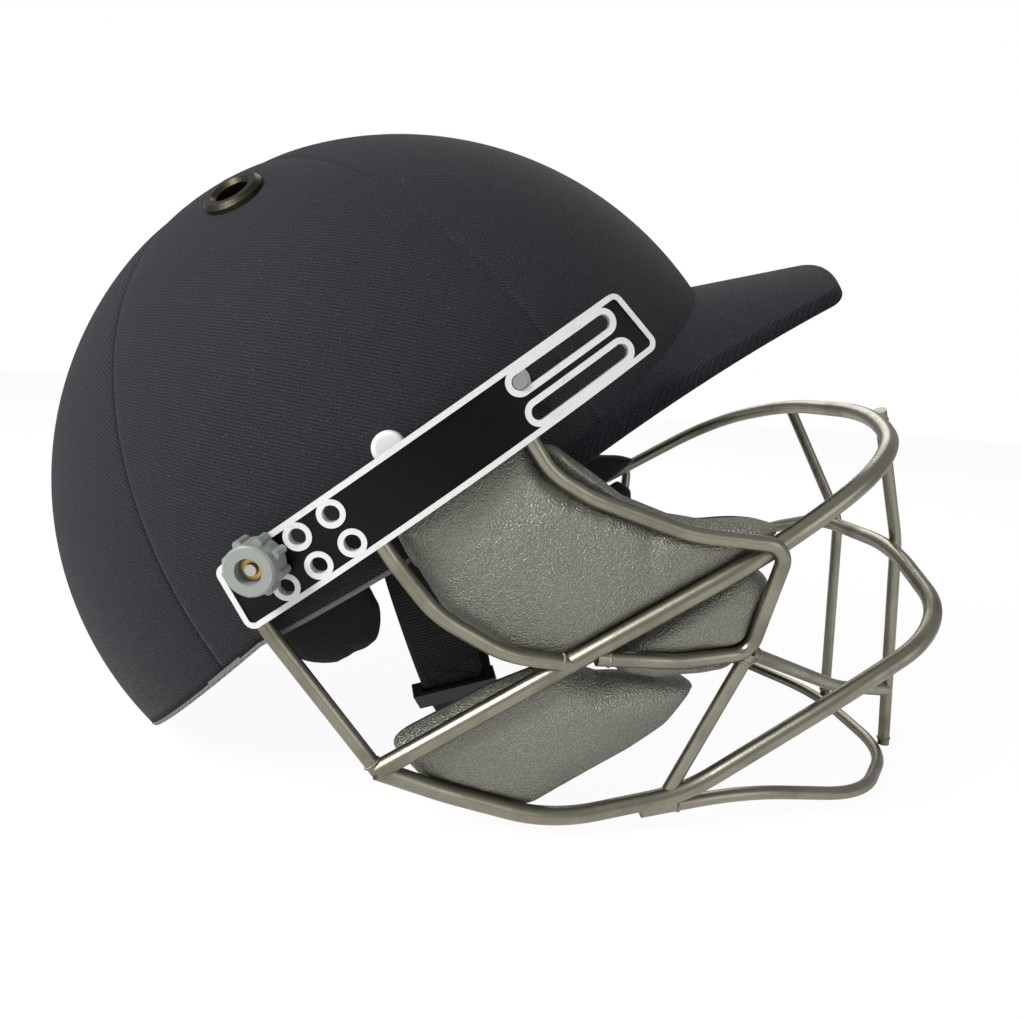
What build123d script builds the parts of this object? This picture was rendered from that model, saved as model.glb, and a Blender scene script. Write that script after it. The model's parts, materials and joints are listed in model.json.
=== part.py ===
from build123d import *
from math import asin, atan2, cos, degrees, hypot, radians, sin, sqrt
import os

# Cricket helmet: a cloth covered shell with a peak and vents, and a wire face
# guard with padded cheeks, hung on two curved side plates.
# Millimetres. The helmet's own frame has its origin at the middle of the
# shell at its widest level, +X towards the peak, +Y to the wearer's left
# and +Z to the crown. At the end every piece is turned nose up to the way
# the helmet rests on a table, on its nape and its chin bar.

os.makedirs("parts", exist_ok=True)

# Shell
shell_length = 274.5
shell_width = 224.0
rim_drop = 3.0
nape_drop = 20.0
nape_start = 52.0
cover_thickness = 1.0
cover_gap = 0.1
shell_wall = 3.4
foam_thickness = 12.0
foam_setback = 4.0
layer_gap = 0.2
seam_gap = 0.4
seam_angle = 60.0
trim_height = 2.0
trim_lip = 0.3
overrun = 2.0

# Peak
peak_reach = 183.0
peak_corner_x = 168.0
peak_corner_y = 59.0
peak_corner_radius = 16.0
peak_side_bow = 2.0
peak_root_x = 51.0
peak_root_y = 106.5
peak_inside_x = 40.0
peak_inside_y = 80.0
peak_thickness = 5.6
peak_arch_radius = 145.0
peak_slope = 19.6
peak_root_height = 15.0
peak_edge_radius = 2.0
peak_gap = 0.5

# Vents
vent_x = 7.0
vent_y = 56.0
vent_bore = 11.6
eyelet_diameter = 21.0
eyelet_height = 2.6
eyelet_barrel_wall = 1.2
eyelet_clearance = 0.15

# Comfort pads in the shell
comfort_thickness = 8.0
brow_pad_height = 30.0
brow_pad_spread = 50.0
brow_pad_lift = 4.0
crown_pad_level = 96.0
ear_flap_width = 36.0
ear_flap_depth = 25.0
ear_flap_rise = 14.0
ear_flap_x = 36.0
ear_flap_corner = 12.0
ear_flap_thickness = 7.0

# Chin strap
strap_width = 22.0
strap_thickness = 2.0
strap_x = 3.0
strap_lean = -18.0
strap_top = 33.0
strap_side = 88.5
strap_bend_drop = 12.0
strap_jaw_side = 66.0
strap_jaw_drop = 59.0
strap_chin_side = 32.0
strap_chin_drop = 89.0
strap_bottom_drop = 97.0
strap_end_gap = 0.6
slider_width = 29.0
slider_height = 13.0
slider_thickness = 5.0
slider_wall = 0.3
rivet_diameter = 10.0
rivet_height = 3.0
rivet_x = 12.0
rivet_z = 25.5
rivet_stem = 4.0
rivet_head = 8.0
rivet_head_height = 1.5

# Side plates
plate_x = 22.0
plate_z = 16.2
plate_tilt = 3.5
plate_radius = 200.0
plate_centre_x = 8.0
plate_bulge = 120.0
plate_thickness = 3.0
plate_top_half = 67.5
plate_bottom_half = 70.5
plate_height = 20.0
plate_corner = 3.0
border_width = 1.6
raise_height = 1.0
inlay_height = 0.4
row_spacing = 9.6
hole_pitch = 11.2
hole_columns = 3
first_hole = 53.2
hole_bore = 4.8
hole_ring = 7.9
slot_start = 30.3
slot_length = 29.0
slot_width = 4.4
slot_ring = 7.9

# Knobs, studs and front screws
knob_diameter = 14.2
knob_height = 9.0
knob_lift = 1.3
knob_gap = 0.3
knob_lug_count = 8
knob_lug_diameter = 2.6
knob_lug_height = 6.0
knob_chamfer = 0.6
recess_diameter = 7.4
recess_depth = 3.6
insert_diameter = 5.8
stud_diameter = 3.2
stud_clearance = 0.15
stud_head = 8.0
stud_head_thickness = 1.0
stud_end = 1.6
insert_set_back = 0.8
insert_fit = 0.04
screw_diameter = 3.9
screw_end = 0.6
screw_head_height = 1.2
screw_pocket_depth = 6.5
spacer_diameter = 9.0
spacer_height = 2.4

# Face guard
bar_diameter = 6.0
wire_diameter = 4.8
rod_diameter = 4.6
weld_depth = 0.3
guard_half_width = 108.0
post_x = 43.0
post_top_x = 45.0
post_foot_drop = 55.0
wire_top = 8.0
top_bar_drop = 60.0
top_bar_reach = 167.4
corner_x = 97.0
corner_half_width = 110.0
corner_bend = 7.0
corner_run = 12.0
second_bar_drop = 121.0
second_bar_front_drop = 115.0
second_bar_reach = 154.2
second_bar_half_width = 94.0
chin_bar_drop = 193.0
chin_bar_reach = 111.8
chin_bar_start_x = 17.0
chin_bar_start_drop = 119.0
upright_top_y = 42.0
upright_top_set_in = 3.0
upright_knee_y = 25.0
upright_knee_drop = 2.0
upright_foot_y = 27.0
upright_foot_set_in = 1.5
pad_corner_x = 73.0
pad_corner_y = 98.5
pad_corner_drop = 88.5
mid_bar_end_share = 0.73
strut_foot_x = 23.0
rear_wire_x = 3.0
front_wire_x = 47.0

# Cheek pads
pad_gap = 0.3
pad_thickness = 15.0
pad_side = 109.5
pad_front_x = 41.5
pad_reach = 100.0
pad_fall = 100.0
pad_bend = 4.0
pad_lean = 11.0
pad_shell_gap = 0.8
slide_travel = 22.4

half_length = shell_length / 2
half_width = shell_width / 2
shell_inside = cover_thickness + cover_gap + shell_wall
foam_inside = shell_inside + layer_gap + foam_thickness
far = shell_length


def largest(part, label):
    """The biggest solid of a part, when a cut leaves crumbs beside it."""
    piece = part.solids().sort_by(SortBy.VOLUME)[-1]
    piece.label = label
    return piece


def side_word(side):
    return "right" if side < 0 else "left"


# The shell's surfaces are one egg, as round from the side as it is long,
# drawn smaller for each layer inside
def egg(inset):
    """Half an oval turned round the line from ear to ear."""
    with BuildPart() as body:
        with BuildSketch(Plane.XY):
            Ellipse(half_length - inset, half_width - inset)
            Rectangle(
                shell_length,
                shell_length,
                align=(Align.MAX, Align.CENTER),
                mode=Mode.SUBTRACT,
            )
        revolve(axis=Axis.Y)
    return body.part


def ball_egg(inset):
    """The whole egg as a stretched ball, for a shell that is one closed face."""
    ball = Sphere(1, mode=Mode.PRIVATE).rotate(Axis.Z, seam_angle / 2)
    long = half_length - inset
    return scale(ball, by=(long, half_width - inset, long), mode=Mode.PRIVATE)


def egg_half_width_at(x, z, inset=0.0):
    """Half width of the egg at a place along it."""
    rest = 1 - (x**2 + z**2) / (half_length - inset) ** 2
    return (half_width - inset) * sqrt(rest)


def rim_block(lower=0.0):
    """Everything above the rim line, as one block that cuts the egg."""
    fall = (nape_drop - rim_drop) / (half_length - nape_start)
    with BuildPart() as block:
        with BuildSketch(Plane.XZ):
            with BuildLine():
                Polyline(
                    (-far, -rim_drop - lower - fall * (far - nape_start)),
                    (-nape_start, -rim_drop - lower),
                    (far, -rim_drop - lower),
                    (far, far),
                    (-far, far),
                    close=True,
                )
            make_face()
        extrude(amount=far, both=True)
    return block.part


def wedge(first, last, gap=0.0):
    """Upright wedge between two directions, in steps of the seam angle."""
    steps = round((last - first) / seam_angle)
    corners = [(0, 0)]
    for step in range(steps + 1):
        turn = radians(first + step * (last - first) / steps)
        corners.append((2 * half_length * cos(turn), 2 * half_width * sin(turn)))
    with BuildPart() as block:
        with BuildSketch(Plane.XY.offset(-far)):
            with BuildLine():
                Polyline(*corners, close=True)
            make_face()
            offset(amount=-gap / 2, kind=Kind.INTERSECTION, mode=Mode.REPLACE)
        extrude(amount=2 * far)
    return block.part


def plate_point(along, up):
    """Helmet place, in X and Z, of a point drawn on a side plate."""
    tilt = radians(plate_tilt)
    return (
        plate_x + along * cos(tilt) - up * sin(tilt),
        plate_z + along * sin(tilt) + up * cos(tilt),
    )


def vent_plane(side):
    """Plane on the egg's surface at a vent, facing out."""
    y = side * vent_y
    z = sqrt(half_length**2 * (1 - (vent_y / half_width) ** 2) - vent_x**2)
    out = Vector(vent_x / half_length**2, y / half_width**2, z / half_length**2)
    return Plane(origin=(vent_x, y, z), z_dir=out.normalized())


def vent_drills():
    """Both vent bores, as one pair of rods through every layer."""
    with BuildPart() as drills:
        for side in (-1, 1):
            with BuildSketch(vent_plane(side)):
                Circle(vent_bore / 2 + eyelet_barrel_wall + eyelet_clearance)
            extrude(amount=half_length / 3, both=True)
    return drills.part


def shell_drills():
    """Bores for the strap's rivets and the front screws, side to side."""
    screw_x, screw_z = plate_point(slot_start, row_spacing / 2)
    with BuildPart() as drills:
        with BuildSketch(Plane.XZ):
            with Locations((rivet_x, rivet_z)):
                Circle(rivet_stem / 2 + insert_fit)
            with Locations((screw_x, screw_z)):
                Circle(screw_diameter / 2 + insert_fit)
        extrude(amount=shell_width, both=True)
    return drills.part


def screw_pockets():
    """Room in the foam for the heads of the front screws."""
    screw_x, screw_z = plate_point(slot_start, row_spacing / 2)
    with BuildPart() as pockets:
        with BuildSketch(Plane.XZ):
            with Locations((screw_x, screw_z)):
                Circle(spacer_diameter / 2)
        extrude(amount=shell_width, both=True)
        add(egg(shell_inside + screw_pocket_depth), mode=Mode.SUBTRACT)
    return pockets.part


vents = vent_drills()
drills = shell_drills()
above_rim = rim_block()


def make_layer(outer, inner, keep):
    """One shell of the egg, cut to the rim and drilled for the vents."""
    with BuildPart() as layer:
        add(egg(outer))
        add(egg(inner), mode=Mode.SUBTRACT)
        add(keep, mode=Mode.INTERSECT)
        add(vents, mode=Mode.SUBTRACT)
        add(drills, mode=Mode.SUBTRACT)
    return layer.part


def make_cover_panels():
    """Six cloth panels, sewn along seams that meet at the crown."""
    whole = make_layer(0, cover_thickness, above_rim)
    panels = []
    for index, place in enumerate(("rear", "", "front")):
        start = 180 + index * seam_angle
        with BuildPart() as right:
            add(whole)
            add(wedge(start, start + seam_angle, seam_gap), mode=Mode.INTERSECT)
        left = mirror(right.part, about=Plane.XZ)
        for panel, side in ((right.part, "right"), (left, "left")):
            panel.label = "_".join(["cover_panel"] + [w for w in (place, side) if w])
            panels.append(panel)
    return panels


def make_outer_shell():
    """Hard shell: the inside is cut a little lower, so the rim stays clean."""
    start = cover_thickness + cover_gap
    with BuildPart() as inside:
        add(ball_egg(start + shell_wall))
        add(rim_block(nape_drop), mode=Mode.INTERSECT)
    with BuildPart() as shell:
        add(ball_egg(start))
        add(above_rim, mode=Mode.INTERSECT)
        add(inside.part, mode=Mode.SUBTRACT)
        add(vents, mode=Mode.SUBTRACT)
        add(drills, mode=Mode.SUBTRACT)
    shell.part.label = "outer_shell"
    return shell.part


def make_foam_liner():
    start = shell_inside + layer_gap
    with BuildPart() as foam:
        add(make_layer(start, start + foam_thickness, rim_block(-foam_setback)))
        add(screw_pockets(), mode=Mode.SUBTRACT)
    foam.part.label = "foam_liner"
    return foam.part


def make_rim_trim():
    """Thin trim under the shell's edge."""
    with BuildPart() as inside:
        add(ball_egg(shell_inside))
        add(rim_block(nape_drop), mode=Mode.INTERSECT)
    with BuildPart() as trim:
        add(ball_egg(-trim_lip))
        add(rim_block(trim_height), mode=Mode.INTERSECT)
        add(inside.part, mode=Mode.SUBTRACT)
        add(above_rim, mode=Mode.SUBTRACT)
    trim.part.label = "rim_trim"
    return trim.part


def peak_outline():
    """Peak seen from above: a blunt front, rounded corners, bowed sides."""
    corners = [(peak_corner_x, way * peak_corner_y) for way in (-1, 1)]
    roots = [(peak_root_x, way * peak_root_y) for way in (-1, 1)]
    inside = [(peak_inside_x, way * peak_inside_y) for way in (-1, 1)]
    middle_x = (peak_corner_x + peak_root_x) / 2
    middle_y = (peak_corner_y + peak_root_y) / 2 + peak_side_bow
    with BuildSketch(Plane.XY.offset(-far)) as outline:
        with BuildLine():
            ThreePointArc(corners[0], (peak_reach, 0), corners[1])
            ThreePointArc(corners[1], (middle_x, middle_y), roots[1])
            ThreePointArc(corners[0], (middle_x, -middle_y), roots[0])
            Polyline(roots[1], inside[1], inside[0], roots[0])
        make_face()
        front = outline.vertices().sort_by(Axis.X)[-2:]
        fillet(front, radius=peak_corner_radius)
    return outline.sketch


def make_peak():
    """Arched brim: a slice of a tube, sloped forward, cut to its outline."""
    slope = radians(peak_slope)
    base = Plane(
        origin=(half_length, 0, peak_root_height - peak_arch_radius / cos(slope)),
        x_dir=(0, 1, 0),
        z_dir=(cos(slope), 0, -sin(slope)),
    )
    with BuildPart() as peak:
        with BuildSketch(base):
            Circle(peak_arch_radius)
            Circle(peak_arch_radius - peak_thickness, mode=Mode.SUBTRACT)
        extrude(amount=half_length, both=True)
        extrude(peak_outline(), amount=2 * far, mode=Mode.INTERSECT)
        with BuildSketch(Plane.XY.offset(-half_width / 2)):
            Rectangle(2 * far, 2 * far)
        extrude(amount=far, mode=Mode.INTERSECT)
        outer = peak.edges().filter_by(
            lambda e: e.center().X > peak_inside_x + peak_edge_radius
        )
        fillet(outer, radius=peak_edge_radius)
        add(egg(-peak_gap), mode=Mode.SUBTRACT)
    return largest(peak.part, "peak")


def make_eyelet(side):
    """Metal vent ring with a barrel through the layers."""
    depth = shell_inside
    with BuildPart() as eyelet:
        with BuildSketch(Plane.XZ):
            with BuildLine():
                inner = vent_bore / 2
                barrel = inner + eyelet_barrel_wall
                outer = eyelet_diameter / 2
                Polyline(
                    (inner, -depth),
                    (barrel, -depth),
                    (barrel, 0),
                    (outer, 0),
                    (outer, eyelet_height / 2),
                    (outer - eyelet_height / 2, eyelet_height),
                    (inner + eyelet_height / 2, eyelet_height),
                    (inner, eyelet_height / 2),
                    close=True,
                )
            make_face()
        revolve(axis=Axis.Z)
    ring = vent_plane(side).location * eyelet.part
    with BuildPart() as seated:
        add(ring)
        add(egg_flange_cut(side), mode=Mode.SUBTRACT)
    seated.part.label = f"eyelet_{side_word(side)}"
    return seated.part


def egg_flange_cut(side):
    """The egg around the vent, less the drilled hole, to seat the flange."""
    with BuildPart() as cut:
        with BuildSketch(vent_plane(side)):
            Circle(eyelet_diameter)
            Circle(vent_bore / 2 + eyelet_barrel_wall + eyelet_clearance, mode=Mode.SUBTRACT)
        extrude(amount=2 * eyelet_height, both=True)
        add(egg(-layer_gap), mode=Mode.INTERSECT)
    return cut.part


def make_comfort_pad(name, turn, low, high):
    """Soft pad against the foam, between two levels, over a spread."""
    start = foam_inside + layer_gap
    with BuildPart() as pad:
        add(egg(start))
        add(egg(start + comfort_thickness), mode=Mode.SUBTRACT)
        add(wedge(turn - brow_pad_spread, turn + brow_pad_spread), mode=Mode.INTERSECT)
        with BuildSketch(Plane.XY.offset(low)):
            Rectangle(2 * far, 2 * far)
        extrude(amount=high - low, mode=Mode.INTERSECT)
    pad.part.label = name
    return pad.part


def make_crown_pad():
    start = foam_inside + layer_gap
    with BuildPart() as pad:
        add(egg(start))
        add(egg(start + comfort_thickness), mode=Mode.SUBTRACT)
        with BuildSketch(Plane.XY.offset(crown_pad_level)):
            Circle(vent_y - vent_bore)
        extrude(amount=half_length, mode=Mode.INTERSECT)
    pad.part.label = "crown_pad"
    return pad.part


def make_ear_flap(side):
    """Flap of soft foam that hangs below the rim over the ear."""
    start = foam_inside + layer_gap
    middle = (ear_flap_rise - ear_flap_depth - rim_drop) / 2
    with BuildPart() as flap:
        add(egg(start))
        add(egg(start + ear_flap_thickness), mode=Mode.SUBTRACT)
        with BuildSketch(Plane.XZ):
            with Locations((-ear_flap_x, middle)):
                RectangleRounded(
                    ear_flap_width, ear_flap_rise + ear_flap_depth, ear_flap_corner
                )
        extrude(amount=-side * half_width, mode=Mode.INTERSECT)
    flap.part.label = f"ear_flap_{side_word(side)}"
    return flap.part


# Chin strap: a band drawn on a leaning plane across the helmet
strap_plane = Plane(
    origin=(-strap_x, 0, -strap_bend_drop),
    x_dir=(0, 1, 0),
    z_dir=(cos(radians(strap_lean)), 0, sin(radians(strap_lean))),
)
strap_side_points = (
    (strap_side, strap_top + strap_bend_drop),
    (strap_side, 0),
    (strap_jaw_side, strap_bend_drop - strap_jaw_drop),
)
strap_under_points = (
    (strap_chin_side, strap_bend_drop - strap_chin_drop),
    (0, strap_bend_drop - strap_bottom_drop),
    (-strap_chin_side, strap_bend_drop - strap_chin_drop),
)


def side_plane(x, z, side, out=0.0):
    """Upright plane beside the helmet at a place, facing out."""
    return Plane(origin=(x, side * out, z), x_dir=(1, 0, 0), z_dir=(0, side, 0))


def make_band(points, label):
    """Flat webbing that follows the points, rounded at each bend."""
    with BuildPart() as band:
        with BuildSketch(strap_plane):
            with BuildLine() as path:
                FilletPolyline(*points, radius=strap_width / 2)
            trace(path.line, line_width=strap_thickness)
        extrude(amount=strap_width / 2, both=True)
        with BuildSketch(side_plane(rivet_x, rivet_z, 1)):
            Circle(rivet_stem / 2 + layer_gap)
        extrude(amount=shell_width, both=True, mode=Mode.SUBTRACT)
    band.part.label = label
    return band.part


def make_straps():
    """Long strap from the left side under the chin, short strap on the right."""
    end_share = 0.80
    last = strap_under_points[-1]
    jaw = (-strap_side_points[-1][0], strap_side_points[-1][1])
    meet = (
        last[0] + (jaw[0] - last[0]) * end_share,
        last[1] + (jaw[1] - last[1]) * end_share,
    )
    long_points = strap_side_points + strap_under_points + (meet,)
    run = hypot(jaw[0] - meet[0], jaw[1] - meet[1])
    share = strap_end_gap / run
    short_end = (meet[0] + (jaw[0] - meet[0]) * share, meet[1] + (jaw[1] - meet[1]) * share)
    short_points = tuple((-y, z) for y, z in strap_side_points) + (short_end,)
    long_strap = make_band(long_points, "chin_strap_long")
    short_strap = make_band(short_points, "chin_strap_short")
    turn = atan2(jaw[1] - meet[1], jaw[0] - meet[0])
    return long_strap, short_strap, make_slider(short_end, turn)


def make_slider(at, turn):
    """Plastic slider that joins the two straps on the right side."""
    with BuildPart() as slider:
        with BuildSketch(strap_plane):
            with Locations(Location((at[0], at[1], 0), degrees(turn))):
                Rectangle(slider_height, slider_thickness)
                Rectangle(
                    slider_height + overrun,
                    strap_thickness + 2 * slider_wall,
                    mode=Mode.SUBTRACT,
                )
        extrude(amount=strap_width / 2 + slider_wall, both=True)
        for way in (-1, 1):
            start = strap_plane.offset(way * (strap_width / 2 + slider_wall))
            with BuildSketch(start):
                with Locations(Location((at[0], at[1], 0), degrees(turn))):
                    Rectangle(slider_height, slider_thickness)
            extrude(amount=way * (slider_width - strap_width) / 2)
    slider.part.label = "strap_slider"
    return slider.part


def make_rivet(side):
    """Rivet with a domed cap on the cover and a flat head inside the strap."""
    root = egg_half_width_at(rivet_x, rivet_z)
    cap = side_plane(rivet_x, rivet_z, side, root - rivet_height)
    inside = strap_side - strap_thickness / 2 - layer_gap - rivet_head_height
    head = side_plane(rivet_x, rivet_z, side, inside)
    with BuildPart() as rivet:
        with BuildSketch(cap):
            Circle(rivet_diameter / 2)
        extrude(amount=2 * rivet_height)
        rim = rivet.edges().group_by(Axis(cap.origin, cap.z_dir))[-1]
        fillet(rim, radius=rivet_height / 2)
        add(egg(-layer_gap), mode=Mode.SUBTRACT)
        with BuildSketch(head):
            Circle(rivet_stem / 2)
        extrude(amount=root + rivet_height / 2 - inside)
        with BuildSketch(head):
            Circle(rivet_head / 2)
        extrude(amount=rivet_head_height)
    rivet.part.label = f"strap_rivet_{side_word(side)}"
    return rivet.part


# Side plates: curved bands, centred beside the helmet's middle
def plate_face(side):
    """Flat drawing plane of a side plate, seen from outside."""
    tilt = radians(plate_tilt)
    return Plane(
        origin=(plate_x, 0, plate_z),
        x_dir=(-side * cos(tilt), 0, -side * sin(tilt)),
        z_dir=(0, side, 0),
    )


def plate_inside_at(x):
    """Distance of the plate's inner face from the helmet's middle plane."""
    sink = plate_radius - plate_bulge
    return sqrt(plate_radius**2 - (x - plate_centre_x) ** 2) - sink


def plate_band(side, inner, outer):
    """Curved sheet between two depths, tall enough for any outline."""
    sink = plate_radius - plate_bulge
    with BuildPart() as band:
        with BuildSketch(Plane.XY.offset(-far / 2)):
            with Locations((plate_centre_x, -side * sink)):
                Circle(plate_radius + outer)
                Circle(plate_radius + inner, mode=Mode.SUBTRACT)
        extrude(amount=far)
    return band.part


def hole_places():
    """Six holes, drawn places on the plate, the knob's hole first."""
    rows = (row_spacing / 2, -row_spacing / 2)
    return [
        (-first_hole + column * hole_pitch, row)
        for row in rows
        for column in range(hole_columns)
    ]


def plate_outline(side, shrink=0.0):
    """Plate outline as a sketch on its drawing plane."""
    top = plate_height / 2
    with BuildSketch(plate_face(side)) as outline:
        with BuildLine():
            Polyline(
                (side * plate_bottom_half, -top),
                (-side * plate_bottom_half, -top),
                (-side * plate_top_half, top),
                (side * plate_top_half, top),
                close=True,
            )
        make_face()
        fillet(outline.vertices(), radius=plate_corner)
        if shrink:
            offset(amount=-shrink, mode=Mode.REPLACE)
    return outline.sketch


def plate_marks(side, ring, slot):
    """Round and slot shaped areas of the six holes and the two slots."""
    with BuildSketch(plate_face(side)) as marks:
        with Locations(*[(-side * s, t) for s, t in hole_places()]):
            Circle(ring / 2)
        for row in (row_spacing / 2, -row_spacing / 2):
            middle = slot_start + slot_length / 2
            with Locations((-side * middle, row)):
                SlotCenterToCenter(slot_length, slot)
    return marks.sketch


def make_side_plate(side):
    """White plate with a raised border and raised edges round its holes."""
    sheet = plate_band(side, 0, plate_thickness)
    proud = plate_band(side, plate_thickness, plate_thickness + raise_height)
    reach = 2 * plate_bulge
    with BuildPart() as raised:
        extrude(plate_outline(side), amount=reach)
        extrude(plate_outline(side, border_width), amount=reach, mode=Mode.SUBTRACT)
        extrude(plate_marks(side, hole_ring, slot_ring), amount=reach)
        add(proud, mode=Mode.INTERSECT)
    with BuildPart() as plate:
        extrude(plate_outline(side), amount=reach)
        add(sheet, mode=Mode.INTERSECT)
        add(raised.part)
        add(knob_seat(side))
        extrude(plate_marks(side, hole_bore, slot_width), amount=reach, mode=Mode.SUBTRACT)
    plate.part.label = f"side_plate_{side_word(side)}"
    return plate.part


def knob_seat(side, room=0.0):
    """Flat seat under the knob, on the curved plate."""
    with BuildPart() as seat:
        with BuildSketch(knob_plane(side)):
            Circle(hole_ring / 2 + room)
        extrude(amount=knob_seat_height)
        add(plate_band(side, 0, 2 * plate_thickness), mode=Mode.INTERSECT)
    return seat.part


def knob_place():
    return plate_point(-first_hole, row_spacing / 2)


def knob_plane(side, height=0.0):
    """Plane square to the curved plate at the knob, above its inner face."""
    x, z = knob_place()
    lean = (x - plate_centre_x) / plate_radius
    out = Vector(lean, side * sqrt(1 - lean**2), 0)
    inner = Vector(x, side * plate_inside_at(x), z)
    return Plane(origin=inner + out * height, x_dir=(0, 0, 1), z_dir=out)


knob_seat_height = plate_thickness + knob_lift
knob_foot_height = knob_seat_height + knob_gap


def make_plate_inlay(side):
    """Black face of the plate, between its raised edges."""
    reach = 2 * plate_bulge
    sheet = plate_band(side, plate_thickness, plate_thickness + inlay_height)
    with BuildPart() as inlay:
        extrude(plate_outline(side, border_width), amount=reach)
        add(sheet, mode=Mode.INTERSECT)
        extrude(
            plate_marks(side, hole_ring, slot_ring), amount=reach, mode=Mode.SUBTRACT
        )
        add(knob_seat(side, layer_gap), mode=Mode.SUBTRACT)
    inlay.part.label = f"plate_inlay_{side_word(side)}"
    return inlay.part


def make_knob(side):
    """Round thumb nut with lugs round its foot."""
    foot = knob_plane(side, knob_foot_height)
    top = foot.offset(knob_height)
    with BuildPart() as knob:
        with BuildSketch(foot):
            Circle(knob_diameter / 2)
        extrude(amount=knob_height)
        rim = knob.edges().group_by(Axis(foot.origin, foot.z_dir))[-1]
        chamfer(rim, length=knob_chamfer)
        with BuildSketch(foot):
            with PolarLocations(knob_diameter / 2, knob_lug_count):
                Circle(knob_lug_diameter / 2)
        extrude(amount=knob_lug_height)
        with BuildSketch(top):
            Circle(recess_diameter / 2)
        extrude(amount=-recess_depth, mode=Mode.SUBTRACT)
        with BuildSketch(foot):
            Circle(insert_diameter / 2 + insert_fit)
        extrude(amount=knob_height, mode=Mode.SUBTRACT)
    knob.part.label = f"knob_{side_word(side)}"
    return knob.part


def make_insert(side):
    """Brass bush pressed into the knob."""
    length = knob_height - recess_depth + insert_set_back
    with BuildPart() as insert:
        with BuildSketch(knob_plane(side, knob_foot_height)):
            Circle(insert_diameter / 2)
            Circle(stud_diameter / 2 + stud_clearance, mode=Mode.SUBTRACT)
        extrude(amount=length)
    insert.part.label = f"knob_insert_{side_word(side)}"
    return insert.part


def make_stud(side):
    """Bolt through the plate's hole, its flat head behind the plate."""
    head = knob_plane(side, -stud_head_thickness - layer_gap)
    reach = knob_foot_height + knob_height - stud_end
    with BuildPart() as stud:
        with BuildSketch(head):
            Circle(stud_head / 2)
        extrude(amount=stud_head_thickness)
        with BuildSketch(head):
            Circle(stud_diameter / 2)
        extrude(amount=reach + stud_head_thickness + layer_gap)
    stud.part.label = f"knob_stud_{side_word(side)}"
    return stud.part


def make_front_screw(side):
    """Screw through the shell that runs in the plate's upper slot."""
    x, z = plate_point(slot_start, row_spacing / 2)
    inside = egg_half_width_at(x, z, shell_inside)
    inside -= 2 * screw_head_height
    reach = plate_inside_at(x) + plate_thickness + raise_height + screw_end
    head = side_plane(x, z, side, inside - screw_head_height)
    with BuildPart() as screw:
        with BuildSketch(head):
            Circle(screw_diameter / 2)
        extrude(amount=reach - inside + screw_head_height)
        with BuildSketch(head):
            Circle(spacer_diameter / 2 - layer_gap)
        extrude(amount=screw_head_height)
    screw.part.label = f"front_screw_{side_word(side)}"
    return screw.part


def make_spacer(side):
    """Grey spacer round the front screw, on the cover."""
    x, z = plate_point(slot_start, row_spacing / 2)
    root = egg_half_width_at(x, z)
    with BuildPart() as spacer:
        with BuildSketch(side_plane(x, z, side, root - spacer_height)):
            Circle(spacer_diameter / 2)
            Circle(screw_diameter / 2 + insert_fit, mode=Mode.SUBTRACT)
        extrude(amount=2 * spacer_height)
        add(egg(-layer_gap), mode=Mode.SUBTRACT)
    return largest(spacer.part, f"screw_spacer_{side_word(side)}")


# Face guard wires
def bend_at(before, corner, after, radius):
    """Start and end of the bend that rounds a corner."""
    back = (before - corner).normalized()
    ahead = (after - corner).normalized()
    half = radians(back.get_angle(ahead)) / 2
    reach = radius * cos(half) / sin(half)
    return corner + back * reach, corner + ahead * reach


def draw_bent_line(points, radii):
    """Straight runs with a round bend at each inner point."""
    places = [Vector(*point) for point in points]
    last = places[0]
    for index, radius in enumerate(radii, start=1):
        start, end = bend_at(*places[index - 1 : index + 2], radius)
        Line(last, start)
        TangentArc(start, end, tangent=places[index] - start)
        last = end
    Line(last, places[-1])


wire_runs = {}


def rod_along(points, radii, diameter):
    """Plain round rod along straight runs and bends."""
    with BuildPart() as rod:
        with BuildLine() as path:
            draw_bent_line(points, radii)
        with BuildSketch(Plane(origin=path.wire() @ 0, z_dir=path.wire() % 0)):
            Circle(diameter / 2)
        sweep(path=path.wire())
    return rod.part


def make_wire(points, radii, diameter, label, cuts=()):
    """Round wire, notched where it is welded to the pieces it is cut by."""
    wire_runs[label] = (points, radii, diameter)
    with BuildPart() as wire:
        add(rod_along(points, radii, diameter))
        for other in cuts:
            add(other, mode=Mode.SUBTRACT)
    return largest(wire.part, label)


def room_round(label):
    """Slightly thicker copy of a wire, to cut a pad clear of it."""
    points, radii, diameter = wire_runs[label]
    return rod_along(points, radii, diameter + 2 * pad_gap)


def both_sides(points):
    """The points, then the same points on the left side in reverse."""
    left = [(x, -y, z) for x, y, z in reversed(points)]
    return list(points) + left


def make_top_bar():
    """Top bar: straight side arms and a rounded front."""
    shares = ((0.577, 0.99), (0.868, 0.857), (1.0, 0.39))
    arm = [(-post_x, -guard_half_width, -post_foot_drop)]
    arm += [
        (reach * top_bar_reach, -width * guard_half_width, -top_bar_drop)
        for reach, width in shares
    ]
    bend_shares = (1.57, 0.48, 1.29)
    radii = [share * guard_half_width for share in bend_shares]
    points = both_sides(arm)
    return make_wire(points, radii + radii[::-1], bar_diameter, "top_bar")


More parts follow.
